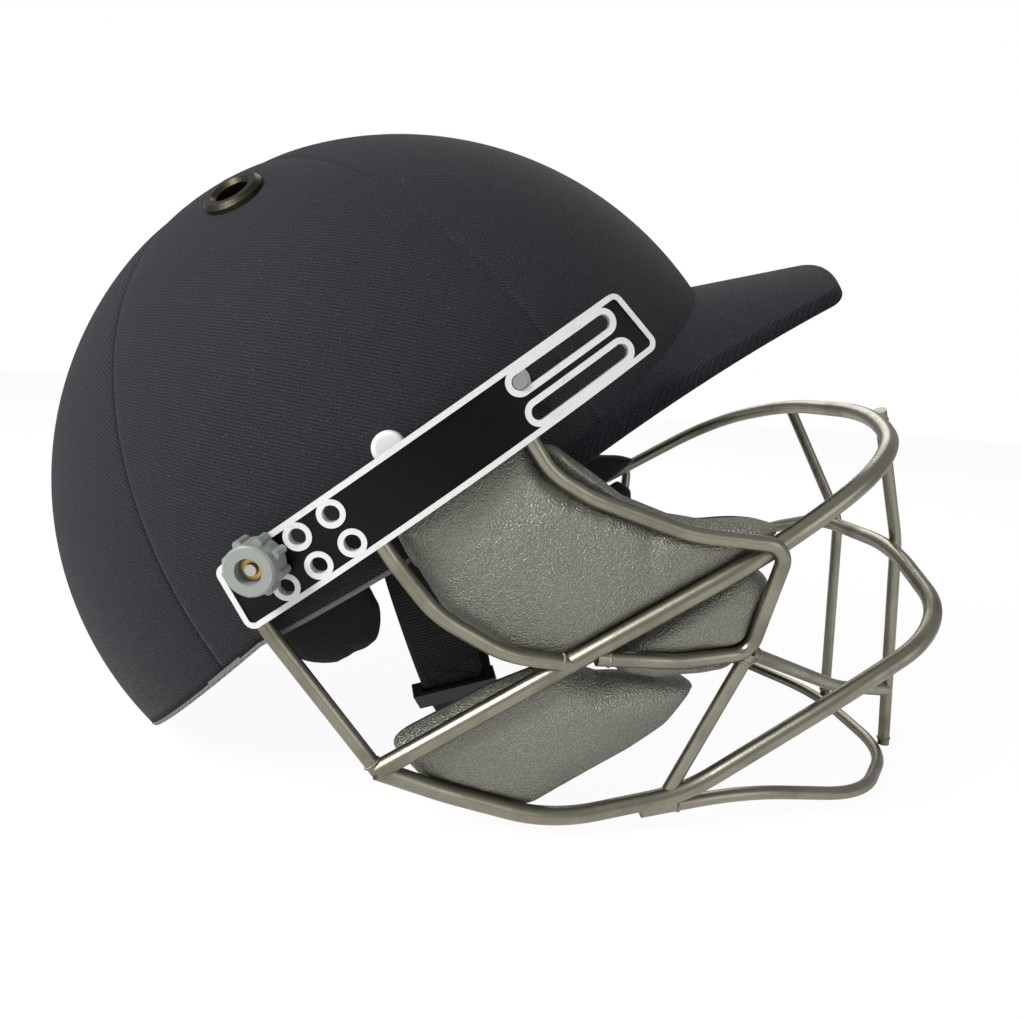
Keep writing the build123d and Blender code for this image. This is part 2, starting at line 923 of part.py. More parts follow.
def make_second_bar(top_bar):
    """Second bar: from the rear corners down, then forward round the jaw."""
    depth_shares = (0.62, 0.86, 1.0, 1.0, 1.025)
    reach_shares = (-0.208, -0.062, 0.208, 0.64, 0.903)
    width_shares = (1.08, 1.04, 1.02, 1.0, 0.91)
    arm = [(-post_x, -guard_half_width, -post_foot_drop)]
    arm += [
        (
            reach * second_bar_reach,
            -width * second_bar_half_width,
            -depth * second_bar_drop,
        )
        for depth, reach, width in zip(depth_shares, reach_shares, width_shares)
    ]
    arm.append((second_bar_reach, -second_bar_half_width / 3, -second_bar_front_drop))
    bend_shares = (0.5, 0.6, 0.6, 2.0, 0.38, 1.15)
    radii = [share * second_bar_half_width for share in bend_shares]
    return make_wire(
        both_sides(arm), radii + radii[::-1], bar_diameter, "second_bar", [top_bar]
    )


def make_chin_bar(second_bar):
    """Lowest bar: branches off the second bar and dips under the chin."""
    reach_shares = (0.15, 0.437, 0.79, 1.0)
    fall_shares = (0.0, 0.22, 0.73, 1.0)
    width_shares = (1.01, 0.954, 0.778, 0.33)
    fall = chin_bar_drop - chin_bar_start_drop
    arm = [
        (
            reach * chin_bar_reach,
            -width * second_bar_half_width,
            -chin_bar_start_drop - share * fall,
        )
        for reach, share, width in zip(reach_shares, fall_shares, width_shares)
    ]
    bend_shares = (1.2, 0.60, 0.64)
    radii = [share * second_bar_half_width for share in bend_shares]
    return make_wire(
        both_sides(arm), radii + radii[::-1], rod_diameter, "chin_bar", [second_bar]
    )


def upright_points(side):
    """Top, knee and foot of an upright, just outside the bars it crosses."""
    touch = (bar_diameter + rod_diameter) / 2 - weld_depth
    foot_touch = rod_diameter - weld_depth
    top = (
        top_bar_reach + touch - upright_top_set_in,
        side * upright_top_y,
        -top_bar_drop,
    )
    knee = (
        second_bar_reach + touch,
        side * upright_knee_y,
        -second_bar_front_drop - upright_knee_drop,
    )
    foot = (
        chin_bar_reach + foot_touch - upright_foot_set_in,
        side * upright_foot_y,
        -chin_bar_drop,
    )
    return top, knee, foot


def make_uprights(cuts):
    return [
        make_wire(
            upright_points(side),
            [guard_half_width / 4],
            rod_diameter,
            f"upright_{side_word(side)}",
            cuts,
        )
        for side in (-1, 1)
    ]


def pad_corner(side):
    return (pad_corner_x, side * pad_corner_y, -pad_corner_drop)


def make_mid_bar(cuts):
    """Short bar from the right cheek corner to the right upright."""
    top, knee, foot = (Vector(*p) for p in upright_points(-1))
    end = knee + (foot - knee) * mid_bar_end_share
    start = Vector(*pad_corner(-1))
    bow = (start + end) / 2 + Vector(0, -rod_diameter / 2, -rod_diameter)
    return make_wire(
        [start, bow, end],
        [guard_half_width],
        rod_diameter,
        "mid_bar",
        cuts,
    )


def make_strut(side, cuts):
    """Short rod from the cheek corner down to the second bar."""
    foot = (strut_foot_x, side * second_bar_half_width * 1.01, -second_bar_drop)
    return make_wire(
        [pad_corner(side), foot], [], rod_diameter, f"strut_{side_word(side)}", cuts
    )


def make_rear_post(side, cuts):
    """Upright wire from the plate's rear end to the rear corner."""
    x = -post_top_x
    out = plate_inside_at(x) - wire_diameter / 2 + weld_depth
    points = [
        (x, side * out, wire_top),
        (x, side * out, -rim_drop),
        (-post_x, side * guard_half_width, -post_foot_drop),
    ]
    return make_wire(
        points, [guard_half_width / 3], wire_diameter, f"rear_post_{side_word(side)}", cuts
    )


def make_rear_wire(side, cuts):
    """Curved wire behind the cheek pad, from the plate to the top bar."""
    x = -rear_wire_x
    out = plate_inside_at(x) - wire_diameter / 2 + weld_depth
    drop_shares = (0.0, 0.36, 0.72, 0.97)
    reach_shares = (0.0, 0.05, 0.42, 1.0)
    run = guard_half_width / 4
    points = [(x, side * out, wire_top)]
    points += [
        (
            x + reach * run,
            side * (out + (guard_half_width - out) * drop),
            -top_bar_drop * drop,
        )
        for drop, reach in zip(drop_shares, reach_shares)
    ]
    radii = [guard_half_width * share for share in (0.4, 0.35, 0.35)]
    return make_wire(points, radii, wire_diameter, f"rear_wire_{side_word(side)}", cuts)


def corner_end(side):
    """Corner of the front wire, and its end a little way down the far side."""
    corner = Vector(corner_x, side * corner_half_width, -top_bar_drop)
    down = (Vector(*pad_corner(side)) - corner).normalized()
    return corner, corner + down * corner_run


def make_front_wire(side, cuts):
    """Curved wire over the cheek pad, from the plate round the front corner."""
    x = front_wire_x
    out = plate_inside_at(x) - wire_diameter / 2 + weld_depth
    drop_shares = (0.06, 0.27, 0.68)
    reach_shares = (0.0, 0.13, 0.52)
    width_shares = (0.06, 0.45, 0.85)
    run = corner_x - x
    points = [(x, side * out, wire_top)]
    points += [
        (
            x + reach * run,
            side * (out + (corner_half_width - out) * width),
            -top_bar_drop * drop,
        )
        for drop, reach, width in zip(drop_shares, reach_shares, width_shares)
    ]
    points += [tuple(point) for point in corner_end(side)]
    radii = [guard_half_width * share for share in (0.2, 0.35, 0.5)]
    return make_wire(
        points,
        radii + [corner_bend],
        wire_diameter,
        f"front_wire_{side_word(side)}",
        cuts,
    )


def make_pad_wire(side, cuts):
    """Wire round the front pad: down from the corner and back to the top bar."""
    corner = Vector(*pad_corner(side))
    start = corner_end(side)[1]
    end = Vector(guard_half_width / 3.5, side * guard_half_width, -top_bar_drop)
    sag = (corner + end) / 2 + Vector(0, 0, -wire_diameter / 2)
    points = [start, corner, sag, end]
    radii = [guard_half_width * share for share in (0.06, 0.5)]
    return make_wire(points, radii, wire_diameter, f"pad_wire_{side_word(side)}", cuts)


# Cheek pads: crowned, drawn in towards their two faces
def pad_plane(side, level):
    """Leaning drawing plane of the cheek pads, seen from the right."""
    lean = radians(pad_lean)
    out = Vector(0, side * cos(lean), -sin(lean))
    return Plane(
        origin=Vector(0, side * pad_side, 0) + out * level,
        x_dir=(1, 0, 0),
        z_dir=out * -side,
    )


def pad_section(side, outline, level, size):
    """Outline of a pad at one level of its thickness, as a sketch."""
    stretch = 1 / cos(radians(pad_lean))
    middle_x = sum(x for x, z in outline) / len(outline)
    middle_z = sum(z for x, z in outline) / len(outline)
    corners = [
        (middle_x + (x - middle_x) * size, (middle_z + (z - middle_z) * size) * stretch)
        for x, z in outline
    ]
    with BuildSketch(pad_plane(side, level * pad_thickness)) as section:
        with BuildLine():
            Polyline(*corners, close=True)
        make_face()
        fillet(section.vertices(), radius=pad_bend * size)
    return section.sketch


def pad_shell_rooms():
    """Shell and peak with some room round them, also with the guard slid back."""
    reach = radians(plate_tilt)
    rise = slide_travel * sin(reach)
    rooms = []
    for drop in (0, rise):
        with BuildPart() as room:
            add(ball_egg(-pad_shell_gap))
            lowest = trim_height + pad_shell_gap + drop
            add(rim_block(lowest), mode=Mode.INTERSECT)
        rooms.append(room.part)
    rooms[1] = rooms[1].moved(Location((slide_travel * cos(reach), 0, rise)))
    peak = make_peak()
    ways = ((-pad_shell_gap, 0, 0), (0, 0, -pad_shell_gap))
    return rooms + [peak.moved(Location(way)) for way in ways]


def make_pad(side, outline, label, cuts=()):
    """Pad that swells to its full outline halfway through its thickness."""
    levels = (-0.56, -0.5, -0.28, 0.0, 0.28, 0.5, 0.56)
    sizes = (0.60, 0.86, 0.96, 1.0, 0.96, 0.86, 0.60)
    sections = [
        pad_section(side, outline, level, size) for level, size in zip(levels, sizes)
    ]
    with BuildPart() as pad:
        loft(sections)
        for other in cuts:
            add(other, mode=Mode.SUBTRACT)
    return largest(pad.part, label)


def pad_corners(shares):
    """Corners of a pad, from shares of the pads' reach and fall."""
    return [(pad_reach * reach, -pad_fall * fall) for reach, fall in shares]


def cheek_outline():
    """Outline under the plate, out past the front wire and behind the bar."""
    inset = wire_diameter / 2 + pad_gap
    top_rear = plate_point(-rear_wire_x - plate_x, -plate_height / 2 - inset)
    top_front = plate_point(pad_front_x - plate_x, -plate_height / 2 - inset)
    front_shares = ((0.62, 0.22), (0.72, 0.36), (0.81, 0.44), (0.96, 0.545))
    low_shares = ((0.91, 0.60), (0.57, 0.654), (0.33, 0.67))
    rear_shares = ((0.22, 0.61), (0.08, 0.43), (0.0, 0.22))
    shares = front_shares + low_shares + rear_shares
    return [top_rear, top_front] + pad_corners(shares)


def front_pad_outline():
    """Outline between the top bar and the wire round the front corner."""
    top_shares = ((0.35, 0.695), (0.87, 0.632))
    wire_shares = ((0.89, 0.73), (0.79, 0.86), (0.71, 0.895))
    low_shares = ((0.60, 0.87), (0.45, 0.79))
    return pad_corners(top_shares + wire_shares + low_shares)


def jaw_outline():
    """Outline behind the front pad, from above the top bar to the second bar."""
    top_shares = ((-0.37, 0.53), (-0.03, 0.54), (0.13, 0.57))
    front_shares = ((0.25, 0.69), (0.39, 0.78), (0.54, 0.90))
    low_shares = ((0.42, 0.96), (0.0, 0.965), (-0.19, 0.96))
    rear_shares = ((-0.32, 0.84),)
    return pad_corners(top_shares + front_shares + low_shares + rear_shares)


def guard_wires(side, bars, uprights, plate):
    """Welded wires of one cheek, in the order they are notched."""
    top_bar, second_bar, chin_bar = bars
    post = make_rear_post(side, [top_bar, second_bar, plate])
    rear = make_rear_wire(side, [top_bar, plate])
    front = make_front_wire(side, [top_bar, plate])
    pad_wire = make_pad_wire(side, [top_bar, front])
    strut = make_strut(side, [second_bar, chin_bar, pad_wire])
    wires = [post, rear, front, pad_wire, strut]
    if side < 0:
        wires.append(make_mid_bar([pad_wire, strut] + uprights))
    return wires


def make_pads(side, shell_rooms):
    """The three cheek pads of one side, cut clear of wires and shell."""
    word = side_word(side)
    around = {
        name: room_round(f"{name}_{word}")
        for name in ("rear_post", "rear_wire", "front_wire", "pad_wire", "strut")
    }
    top = room_round("top_bar")
    second = room_round("second_bar")
    corner_wires = [around["front_wire"], around["pad_wire"], top]
    cheek_cuts = corner_wires + [around["rear_wire"]] + shell_rooms
    jaw_wires = [around[name] for name in ("rear_post", "rear_wire", "pad_wire", "strut")]
    jaw_cuts = jaw_wires + [top, second]
    cheek = make_pad(side, cheek_outline(), f"cheek_pad_{word}", cheek_cuts)
    front_cuts = corner_wires + [around["strut"]]
    if side < 0:
        front_cuts.append(room_round("mid_bar"))
    front = make_pad(side, front_pad_outline(), f"front_pad_{word}", front_cuts)
    jaw = make_pad(side, jaw_outline(), f"jaw_pad_{word}", jaw_cuts)
    return [cheek, front, jaw]


def build_guard():
    """All pieces that slide with the face guard."""
    top_bar = make_top_bar()
    second_bar = make_second_bar(top_bar)
    chin_bar = make_chin_bar(second_bar)
    bars = [top_bar, second_bar, chin_bar]
    uprights = make_uprights(bars)
    shell_rooms = pad_shell_rooms()
    pieces = bars + uprights
    for side in (-1, 1):
        plate = make_side_plate(side)
        pieces += guard_wires(side, bars, uprights, plate)
        pieces += make_pads(side, shell_rooms)
        pieces += [plate, make_plate_inlay(side), make_stud(side)]
        pieces += [make_knob(side), make_insert(side)]
    return pieces


def build_shell():
    """All pieces that stay with the shell."""
    pieces = make_cover_panels()
    pieces += [make_outer_shell(), make_foam_liner(), make_rim_trim(), make_peak()]
    pieces.append(make_comfort_pad("brow_pad", 0, brow_pad_lift, brow_pad_height))
    pieces.append(make_comfort_pad("nape_pad", 180, -brow_pad_lift, brow_pad_height))
    pieces.append(make_crown_pad())
    pieces += make_straps()
    for side in (-1, 1):
        pieces += [make_eyelet(side), make_ear_flap(side), make_rivet(side)]
        pieces += [make_front_screw(side), make_spacer(side)]
    return pieces


def nape_place():
    """Lowest place of the trim at the nape, in X and Z."""
    reach = sqrt((half_length + trim_lip) ** 2 - nape_drop**2)
    fall = (nape_drop - rim_drop) / (half_length - nape_start)
    return -reach, -rim_drop - trim_height - fall * (reach - nape_start)


def rest_turn():
    """Nose up angle at which the nape and the chin bar share a table."""
    nape_x, nape_z = nape_place()
    reach = chin_bar_reach - nape_x
    fall = chin_bar_drop + nape_z
    line = hypot(reach, fall)
    return degrees(atan2(fall, reach) + asin(rod_diameter / 2 / line))


def place_and_write(shell, guard):
    """Turn every piece to rest, stand the whole on Z = 0 and write it."""
    turn = radians(rest_turn())
    turned = Location((0, 0, 0), (0, -rest_turn(), 0))
    resting = [piece.moved(turned) for piece in shell + guard]
    front = max(piece.bounding_box().max.X for piece in resting[len(shell) :])
    low = chin_bar_reach * sin(turn) - chin_bar_drop * cos(turn) - rod_diameter / 2
    shift = Location(((half_length - front) / 2, 0, -low))
    for piece, start in zip(resting, shell + guard):
        placed = piece.moved(shift)
        placed.label = start.label
        export_step(placed, f"parts/{placed.label}.step")
    print("turn", rest_turn(), "shift", shift.position)


place_and_write(build_shell(), build_guard())
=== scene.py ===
"""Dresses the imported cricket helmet: cloth cover, padded cheeks, straps, welds.

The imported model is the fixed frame. Each class here makes one part of the
helmet's finish around it, in metres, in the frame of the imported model.
"""

from __future__ import annotations

import json
import logging
import math
from dataclasses import dataclass
from enum import Enum
from typing import Callable, Iterable, Sequence, Union

import bmesh
import bpy
from mathutils import Matrix, Vector
from mathutils.bvhtree import BVHTree

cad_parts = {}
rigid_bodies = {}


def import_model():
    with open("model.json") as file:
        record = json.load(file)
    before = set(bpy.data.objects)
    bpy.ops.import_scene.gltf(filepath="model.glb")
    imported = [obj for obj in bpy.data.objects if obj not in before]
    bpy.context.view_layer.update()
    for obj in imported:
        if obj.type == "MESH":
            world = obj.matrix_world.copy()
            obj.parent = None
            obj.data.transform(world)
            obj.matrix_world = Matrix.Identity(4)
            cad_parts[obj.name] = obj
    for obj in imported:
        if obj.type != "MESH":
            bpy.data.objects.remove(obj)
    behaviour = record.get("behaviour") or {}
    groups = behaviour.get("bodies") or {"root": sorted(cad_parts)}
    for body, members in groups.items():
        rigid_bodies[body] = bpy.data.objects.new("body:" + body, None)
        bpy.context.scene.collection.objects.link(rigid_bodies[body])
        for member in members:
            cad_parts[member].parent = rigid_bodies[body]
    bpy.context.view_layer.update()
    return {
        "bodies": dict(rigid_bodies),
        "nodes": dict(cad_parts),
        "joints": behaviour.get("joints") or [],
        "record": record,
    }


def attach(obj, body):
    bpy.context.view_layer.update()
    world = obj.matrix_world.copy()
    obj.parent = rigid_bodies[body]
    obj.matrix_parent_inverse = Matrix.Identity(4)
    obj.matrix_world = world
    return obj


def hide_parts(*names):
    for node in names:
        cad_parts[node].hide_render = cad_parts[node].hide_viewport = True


LOG = logging.getLogger("helmet")
MM = 0.001

Colour = tuple[float, float, float]
Point = tuple[float, float, float]
Number = Union[float, "Value"]


class Body(Enum):
    """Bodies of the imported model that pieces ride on."""

    HELMET = "helmet"
    GUARD = "face_guard"
    RIGHT_KNOB = "right_knob"
    LEFT_KNOB = "left_knob"


class Side(Enum):
    """Sides of the wearer, with the sign of Y."""

    RIGHT = -1
    LEFT = 1

    @property
    def word(self) -> str:
        """Name of the side, as it ends a node's name."""
        return self.name.lower()


class Space(Enum):
    """Coordinates that a pattern is drawn in."""

    OBJECT = "Object"
    UV = "UV"


@dataclass(frozen=True)
class Placement:
    """How the helmet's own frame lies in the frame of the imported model."""

    nose_up: float = math.radians(35.072637)
    shift_x: float = -34.8672 * MM
    shift_z: float = 96.0140 * MM

    @property
    def matrix(self) -> Matrix:
        """Matrix from the helmet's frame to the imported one, both in metres."""
        turn = Matrix.Rotation(-self.nose_up, 4, "Y")
        return Matrix.Translation((self.shift_x, 0, self.shift_z)) @ turn

    def point(self, x: float, y: float, z: float) -> Vector:
        """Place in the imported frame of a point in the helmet's, in millimetres.

        Args:
            x: Distance towards the peak.
            y: Distance to the wearer's left.
            z: Height above the shell's widest level.

        Returns:
            The point in metres.
        """
        return self.matrix @ (Vector((x, y, z)) * MM)


class Value:
    """A number in a shader tree, which takes part in sums."""

    def __init__(self, tree: "ShaderTree", socket: bpy.types.NodeSocket) -> None:
        """Wraps an output socket of a tree."""
        self.tree = tree
        self.socket = socket

    def _sum(self, kind: str, first: Number, second: Number) -> "Value":
        """Result of one more Math node in the tree."""
        made = self.tree.node(
            "ShaderNodeMath", {"operation": kind}, {0: first, 1: second}
        )
        return Value(self.tree, made.outputs[0])

    def __add__(self, other: Number) -> "Value":
        """Sum."""
        return self._sum("ADD", self, other)

    def __radd__(self, other: Number) -> "Value":
        """Sum with the number first."""
        return self._sum("ADD", other, self)

    def __sub__(self, other: Number) -> "Value":
        """Difference."""
        return self._sum("SUBTRACT", self, other)

    def __rsub__(self, other: Number) -> "Value":
        """Difference with the number first."""
        return self._sum("SUBTRACT", other, self)

    def __mul__(self, other: Number) -> "Value":
        """Product."""
        return self._sum("MULTIPLY", self, other)

    def __rmul__(self, other: Number) -> "Value":
        """Product with the number first."""
        return self._sum("MULTIPLY", other, self)

    def most(self, other: Number) -> "Value":
        """The larger one."""
        return self._sum("MAXIMUM", self, other)

    def wave(self) -> "Value":
        """Sine, in radians."""
        return self._sum("SINE", self, 0.0)

    def clamped(self, low: float, high: float) -> "Value":
        """Smooth step of the value between two levels.

        Args:
            low: Level that gives 0.
            high: Level that gives 1.

        Returns:
            The stepped value, from 0 to 1.
        """
        made = self.tree.node(
            "ShaderNodeMapRange",
            {"interpolation_type": "SMOOTHSTEP"},
            {"Value": self, "From Min": low, "From Max": high},
        )
        return Value(self.tree, made.outputs["Result"])


class ShaderTree:
    """One node tree of a material or of the world, and the one way to make nodes."""

    def __init__(self, name: str, world: bpy.types.World | None = None) -> None:
        """Starts an empty tree with an output node.

        Args:
            name: Name of the material.
            world: World that the tree is for, in place of a new material.
        """
        self.material = world or bpy.data.materials.new(name)
        self.material.use_nodes = True
        self.material.node_tree.nodes.clear()
        kind = "World" if world else "Material"
        self.output = self.node(f"ShaderNodeOutput{kind}")

    def node(
        self,
        kind: str,
        settings: dict[str, object] | None = None,
        inputs: dict[object, object] | None = None,
    ) -> bpy.types.Node:
        """Makes a node, sets it up and fills its sockets.

        Args:
            kind: Blender's name of the node type.
            settings: Properties that are set first.
            inputs: Values, colours, sockets or Value objects by socket.

        Returns:
            The new node.
        """
        made = self.material.node_tree.nodes.new(kind)
        for key, setting in (settings or {}).items():
            setattr(made, key, setting)
        for key, given in (inputs or {}).items():
            self.feed(made.inputs[key], given)
        return made

    def feed(self, socket: bpy.types.NodeSocket, given: object) -> None:
        """Links a socket, or sets its value."""
        if isinstance(given, Value):
            given = given.socket
        if isinstance(given, bpy.types.NodeSocket):
            self.material.node_tree.links.new(given, socket)
        elif socket.type == "RGBA" and len(given) == 3:
            socket.default_value = (*given, 1.0)
        else:
            socket.default_value = given

    def coordinates(self, space: Space) -> bpy.types.NodeSocket:
        """Coordinates of a space, as a vector in metres."""
        return self.node("ShaderNodeTexCoord").outputs[space.value]

    def turned(self, vector: object, turn: Point) -> bpy.types.NodeSocket:
        """The vector turned about its axes, in radians."""
        made = self.node(
            "ShaderNodeMapping", None, {"Vector": vector, "Rotation": turn}
        )
        return made.outputs["Vector"]

    def axes(self, vector: object) -> tuple[Value, Value, Value]:
        """The three numbers of a vector."""
        made = self.node("ShaderNodeSeparateXYZ", None, {0: vector})
        return tuple(Value(self, out) for out in made.outputs)

    def noise(self, vector: object, scale: float, detail: float = 2.0) -> Value:
        """Smooth noise from 0 to 1.

        Args:
            vector: Coordinates in metres.
            scale: Lumps in a metre.
            detail: Number of finer layers.

        Returns:
            The noise.
        """
        made = self.node(
            "ShaderNodeTexNoise",
            None,
            {"Vector": vector, "Scale": scale, "Detail": detail},
        )
        return Value(self, made.outputs[0])

    def cells(self, vector: object, scale: float) -> Value:
        """Distance inside a pattern of cells, which are 1/scale metres wide."""
        made = self.node(
            "ShaderNodeTexVoronoi", None, {"Vector": vector, "Scale": scale}
        )
        return Value(self, made.outputs["Distance"])

    def blend(self, factor: Number, first: object, second: object) -> object:
        """Mix of two colours.

        Args:
            factor: Share of the second colour.
            first: Colour at 0.
            second: Colour at 1.

        Returns:
            Socket of the mixed colour.
        """
        made = self.node("ShaderNodeMix", {"data_type": "RGBA"})
        self.feed(made.inputs[0], factor)
        self.feed(made.inputs[6], first)
        self.feed(made.inputs[7], second)
        return made.outputs[2]

    def bump(self, height: Number, distance: float, strength: float = 1.0) -> object:
        """Normal of a bumpy surface.

        Args:
            height: Height of the bumps, from 0 to 1.
            distance: Depth of the bumps in metres.
            strength: Share of the effect.

        Returns:
            Socket of the normal.
        """
        made = self.node(
            "ShaderNodeBump",
            None,
            {"Height": height, "Distance": distance, "Strength": strength},
        )
        return made.outputs["Normal"]

    def finish(self, sockets: dict[str, object]) -> bpy.types.Material:
        """Ends the tree with one surface shader.

        Args:
            sockets: What the surface shader's sockets get, by name.

        Returns:
            The finished material.
        """
        surface = self.node("ShaderNodeBsdfPrincipled", None, sockets)
        self.feed(self.output.inputs["Surface"], surface.outputs[0])
        return self.material


@dataclass(frozen=True)
class Finish:
    """One finish; each kind says what the surface shader's sockets get."""

    name: str
    space = Space.OBJECT

    def sockets(self, tree: ShaderTree, where: object) -> dict[str, object]:
        """What the sockets get, by name, with the coordinates of the finish."""
        raise NotImplementedError

    def build(self) -> bpy.types.Material:
        """Makes the material."""
        tree = ShaderTree(self.name)
        return tree.finish(self.sockets(tree, tree.coordinates(self.space)))


@dataclass(frozen=True)
class TwillCloth(Finish):
    """Dark woven cloth with fine slanted lines and a few specks of lint."""

    space: Space = Space.OBJECT
    dark: Colour = (0.0022, 0.0022, 0.0032)
    light: Colour = (0.0400, 0.0398, 0.0480)
    pitch: float = 1.05 * MM
    slant: float = math.radians(-43)

    def sockets(self, tree: ShaderTree, where: object) -> dict[str, object]:
        """What the sockets get, by name."""
        across, along, _ = tree.axes(tree.turned(where, (0.0, 0.0, self.slant)))
        wander = tree.noise(where, 160.0, 2.0)
        turns = 2 * math.pi / self.pitch
        ribs = (along * turns + wander * 3.0).wave() * 0.5 + 0.5
        floats = (across * (turns * 0.8) + ribs * 2.0).wave() * 0.5 + 0.5
        fuzz = tree.noise(where, 2300.0, 2.0).clamped(0.30, 0.72)
        patches = tree.noise(where, 14.0, 3.0)
        lint = tree.noise(where, 1500.0, 1.0).clamped(0.68, 0.78)
        tone = ribs * 0.30 + floats * 0.06 + fuzz * 0.48 + patches * 0.14
        cloth = tree.blend(tone, self.dark, self.light)
        bright = tuple(min(1.0, part * 3.2) for part in self.light)
        colour = tree.blend(lint * 0.6, cloth, bright)
        height = ribs * 0.6 + floats * 0.2 + fuzz * 0.35
        return {
            "Base Color": colour,
            "Roughness": 0.92 - fuzz * 0.12,
            "Sheen Weight": 0.05,
            "Sheen Roughness": 0.35,
            "Specular IOR Level": 0.18,
            "Normal": tree.bump(height, 0.22 * MM, 0.8),
        }


@dataclass(frozen=True)
class PaddedLeather(Finish):
    """Silver grey coated leather with a pebbled grain, painted shade in the creases
    between the pebbles, and its black lining.

    The mesh's "lined" attribute is 1 on the faces that the lining covers.
    """

    base: Colour = (0.325, 0.325, 0.280)
    shade: Colour = (0.150, 0.148, 0.124)
    cloth: Colour = (0.010, 0.010, 0.010)
    grain: float = 0.62 * MM

    def sockets(self, tree: ShaderTree, where: object) -> dict[str, object]:
        """What the sockets get, by name."""
        sway = tree.node("ShaderNodeTexNoise", None, {"Vector": where, "Scale": 700.0})
        moved = tree.node(
            "ShaderNodeVectorMath",
            {"operation": "MULTIPLY_ADD"},
            {0: sway.outputs["Color"], 1: (0.8 * MM, 0.8 * MM, 0.8 * MM), 2: where},
        )
        creases_and_shade = tree.cells(moved.outputs[0], 1 / self.grain).clamped(0.20, 0.80)
        broad = tree.noise(where, 28.0, 3.0)
        fine = tree.noise(where, 2100.0, 2.0).clamped(0.34, 0.66)
        tag = tree.node("ShaderNodeAttribute", {"attribute_name": "lined"})
        lined = Value(tree, tag.outputs["Fac"])
        # The creases between the pebbles are painted darker as painted shade, and the
        # broad and fine noise add random tone.
        tone = 0.58 - creases_and_shade * 0.42 + broad * 0.24 + fine * 0.30
        leather = tree.blend(tone, self.shade, self.base)
        bare = 1 - lined
        height = (1 - creases_and_shade) * 0.7 + fine * 0.25
        return {
            "Base Color": tree.blend(lined, leather, self.cloth),
            "Metallic": bare * 0.75,
            "Roughness": 0.32 + creases_and_shade * 0.12 + fine * 0.04 + lined * 0.50,
            "Normal": tree.bump(height, 0.36 * MM, 0.9),
        }


@dataclass(frozen=True)
class SatinMetal(Finish):
    """Brushed or tumbled metal, duller in random cloudy patches."""

    base: Colour
    dull: Colour
    roughness: float = 0.34
    scratch: float = 900.0
    depth: float = 0.05 * MM

    def sockets(self, tree: ShaderTree, where: object) -> dict[str, object]:
        """What the sockets get, by name."""
        cloudy = tree.noise(where, 60.0, 4.0)
        fine = tree.noise(where, self.scratch, 3.0)
        stain = cloudy.clamped(0.42, 0.72)
        colour = tree.blend(stain * 0.55 + fine * 0.25, self.base, self.dull)
        return {
            "Base Color": colour,
            "Metallic": 1.0,
            "Roughness": self.roughness + stain * 0.10 + fine * 0.08,
            "Normal": tree.bump(fine, self.depth, 0.5),
        }


@dataclass(frozen=True)
class MouldedPlastic(Finish):
    """Moulded plastic, with a faint moulding texture and scuffs."""

    base: Colour
    scuffed: Colour
    roughness: float = 0.4
    coat: float = 0.0
    texture: float = 700.0
    depth: float = 0.03 * MM
    specular: float = 0.5

    def sockets(self, tree: ShaderTree, where: object) -> dict[str, object]:
        """What the sockets get, by name."""
        cloudy = tree.noise(where, 90.0, 4.0)
        fine = tree.noise(where, self.texture, 2.0)
        scuffs = (cloudy * 0.6 + fine * 0.4).clamped(0.54, 0.74)
        return {
            "Base Color": tree.blend(scuffs * 0.8, self.base, self.scuffed),
            "Roughness": self.roughness + scuffs * 0.14 + fine * 0.05,
            "Specular IOR Level": self.specular,
            "Coat Weight": self.coat,
            "Coat Roughness": 0.08,
            "Normal": tree.bump(fine, self.depth, 0.5),
        }


@dataclass(frozen=True)
class Webbing(Finish):
    """Black woven strap with cross ribs, drawn on the strap's own map."""

    space = Space.UV
    dark: Colour = (0.0022, 0.0022, 0.0020)
    light: Colour = (0.0120, 0.0118, 0.0105)
    rib: float = 1.3 * MM
    yarn: float = 1.1 * MM

    def sockets(self, tree: ShaderTree, where: object) -> dict[str, object]:
        """What the sockets get, by name."""
        across, along, _ = tree.axes(where)
        ribs = (along * (2 * math.pi / self.rib)).wave() * 0.5 + 0.5
        yarns = (across * (2 * math.pi / self.yarn) + ribs * 1.6).wave() * 0.5 + 0.5
        fuzz = tree.noise(where, 2200.0, 2.0)
        tone = ribs * 0.45 + yarns * 0.3 + fuzz * 0.3
        height = ribs * 0.7 + yarns * 0.35 + fuzz * 0.2
        return {
            "Base Color": tree.blend(tone, self.dark, self.light),
            "Roughness": 0.72 + fuzz * 0.15,
            "Sheen Weight": 0.1,
            "Specular IOR Level": 0.3,
            "Normal": tree.bump(height, 0.35 * MM, 0.9),
        }


@dataclass(frozen=True)
class SoftFabric(Finish):
    """Knitted or brushed lining fabric, or foam, with a soft speckle."""

    dark: Colour
    light: Colour
    knit: float = 1.4 * MM
    depth: float = 0.35 * MM

    def sockets(self, tree: ShaderTree, where: object) -> dict[str, object]:
        """What the sockets get, by name."""
        holes = tree.cells(where, 1 / self.knit).clamped(0.05, 0.6)
        fuzz = tree.noise(where, 2000.0, 3.0)
        patches = tree.noise(where, 25.0, 2.0)
        tone = holes * 0.35 + fuzz * 0.35 + patches * 0.3
        return {
            "Base Color": tree.blend(tone, self.dark, self.light),
            "Roughness": 0.85 + fuzz * 0.12,
            "Sheen Weight": 0.08,
            "Specular IOR Level": 0.25,
            "Normal": tree.bump(holes * 0.6 + fuzz * 0.5, self.depth, 0.7),
        }


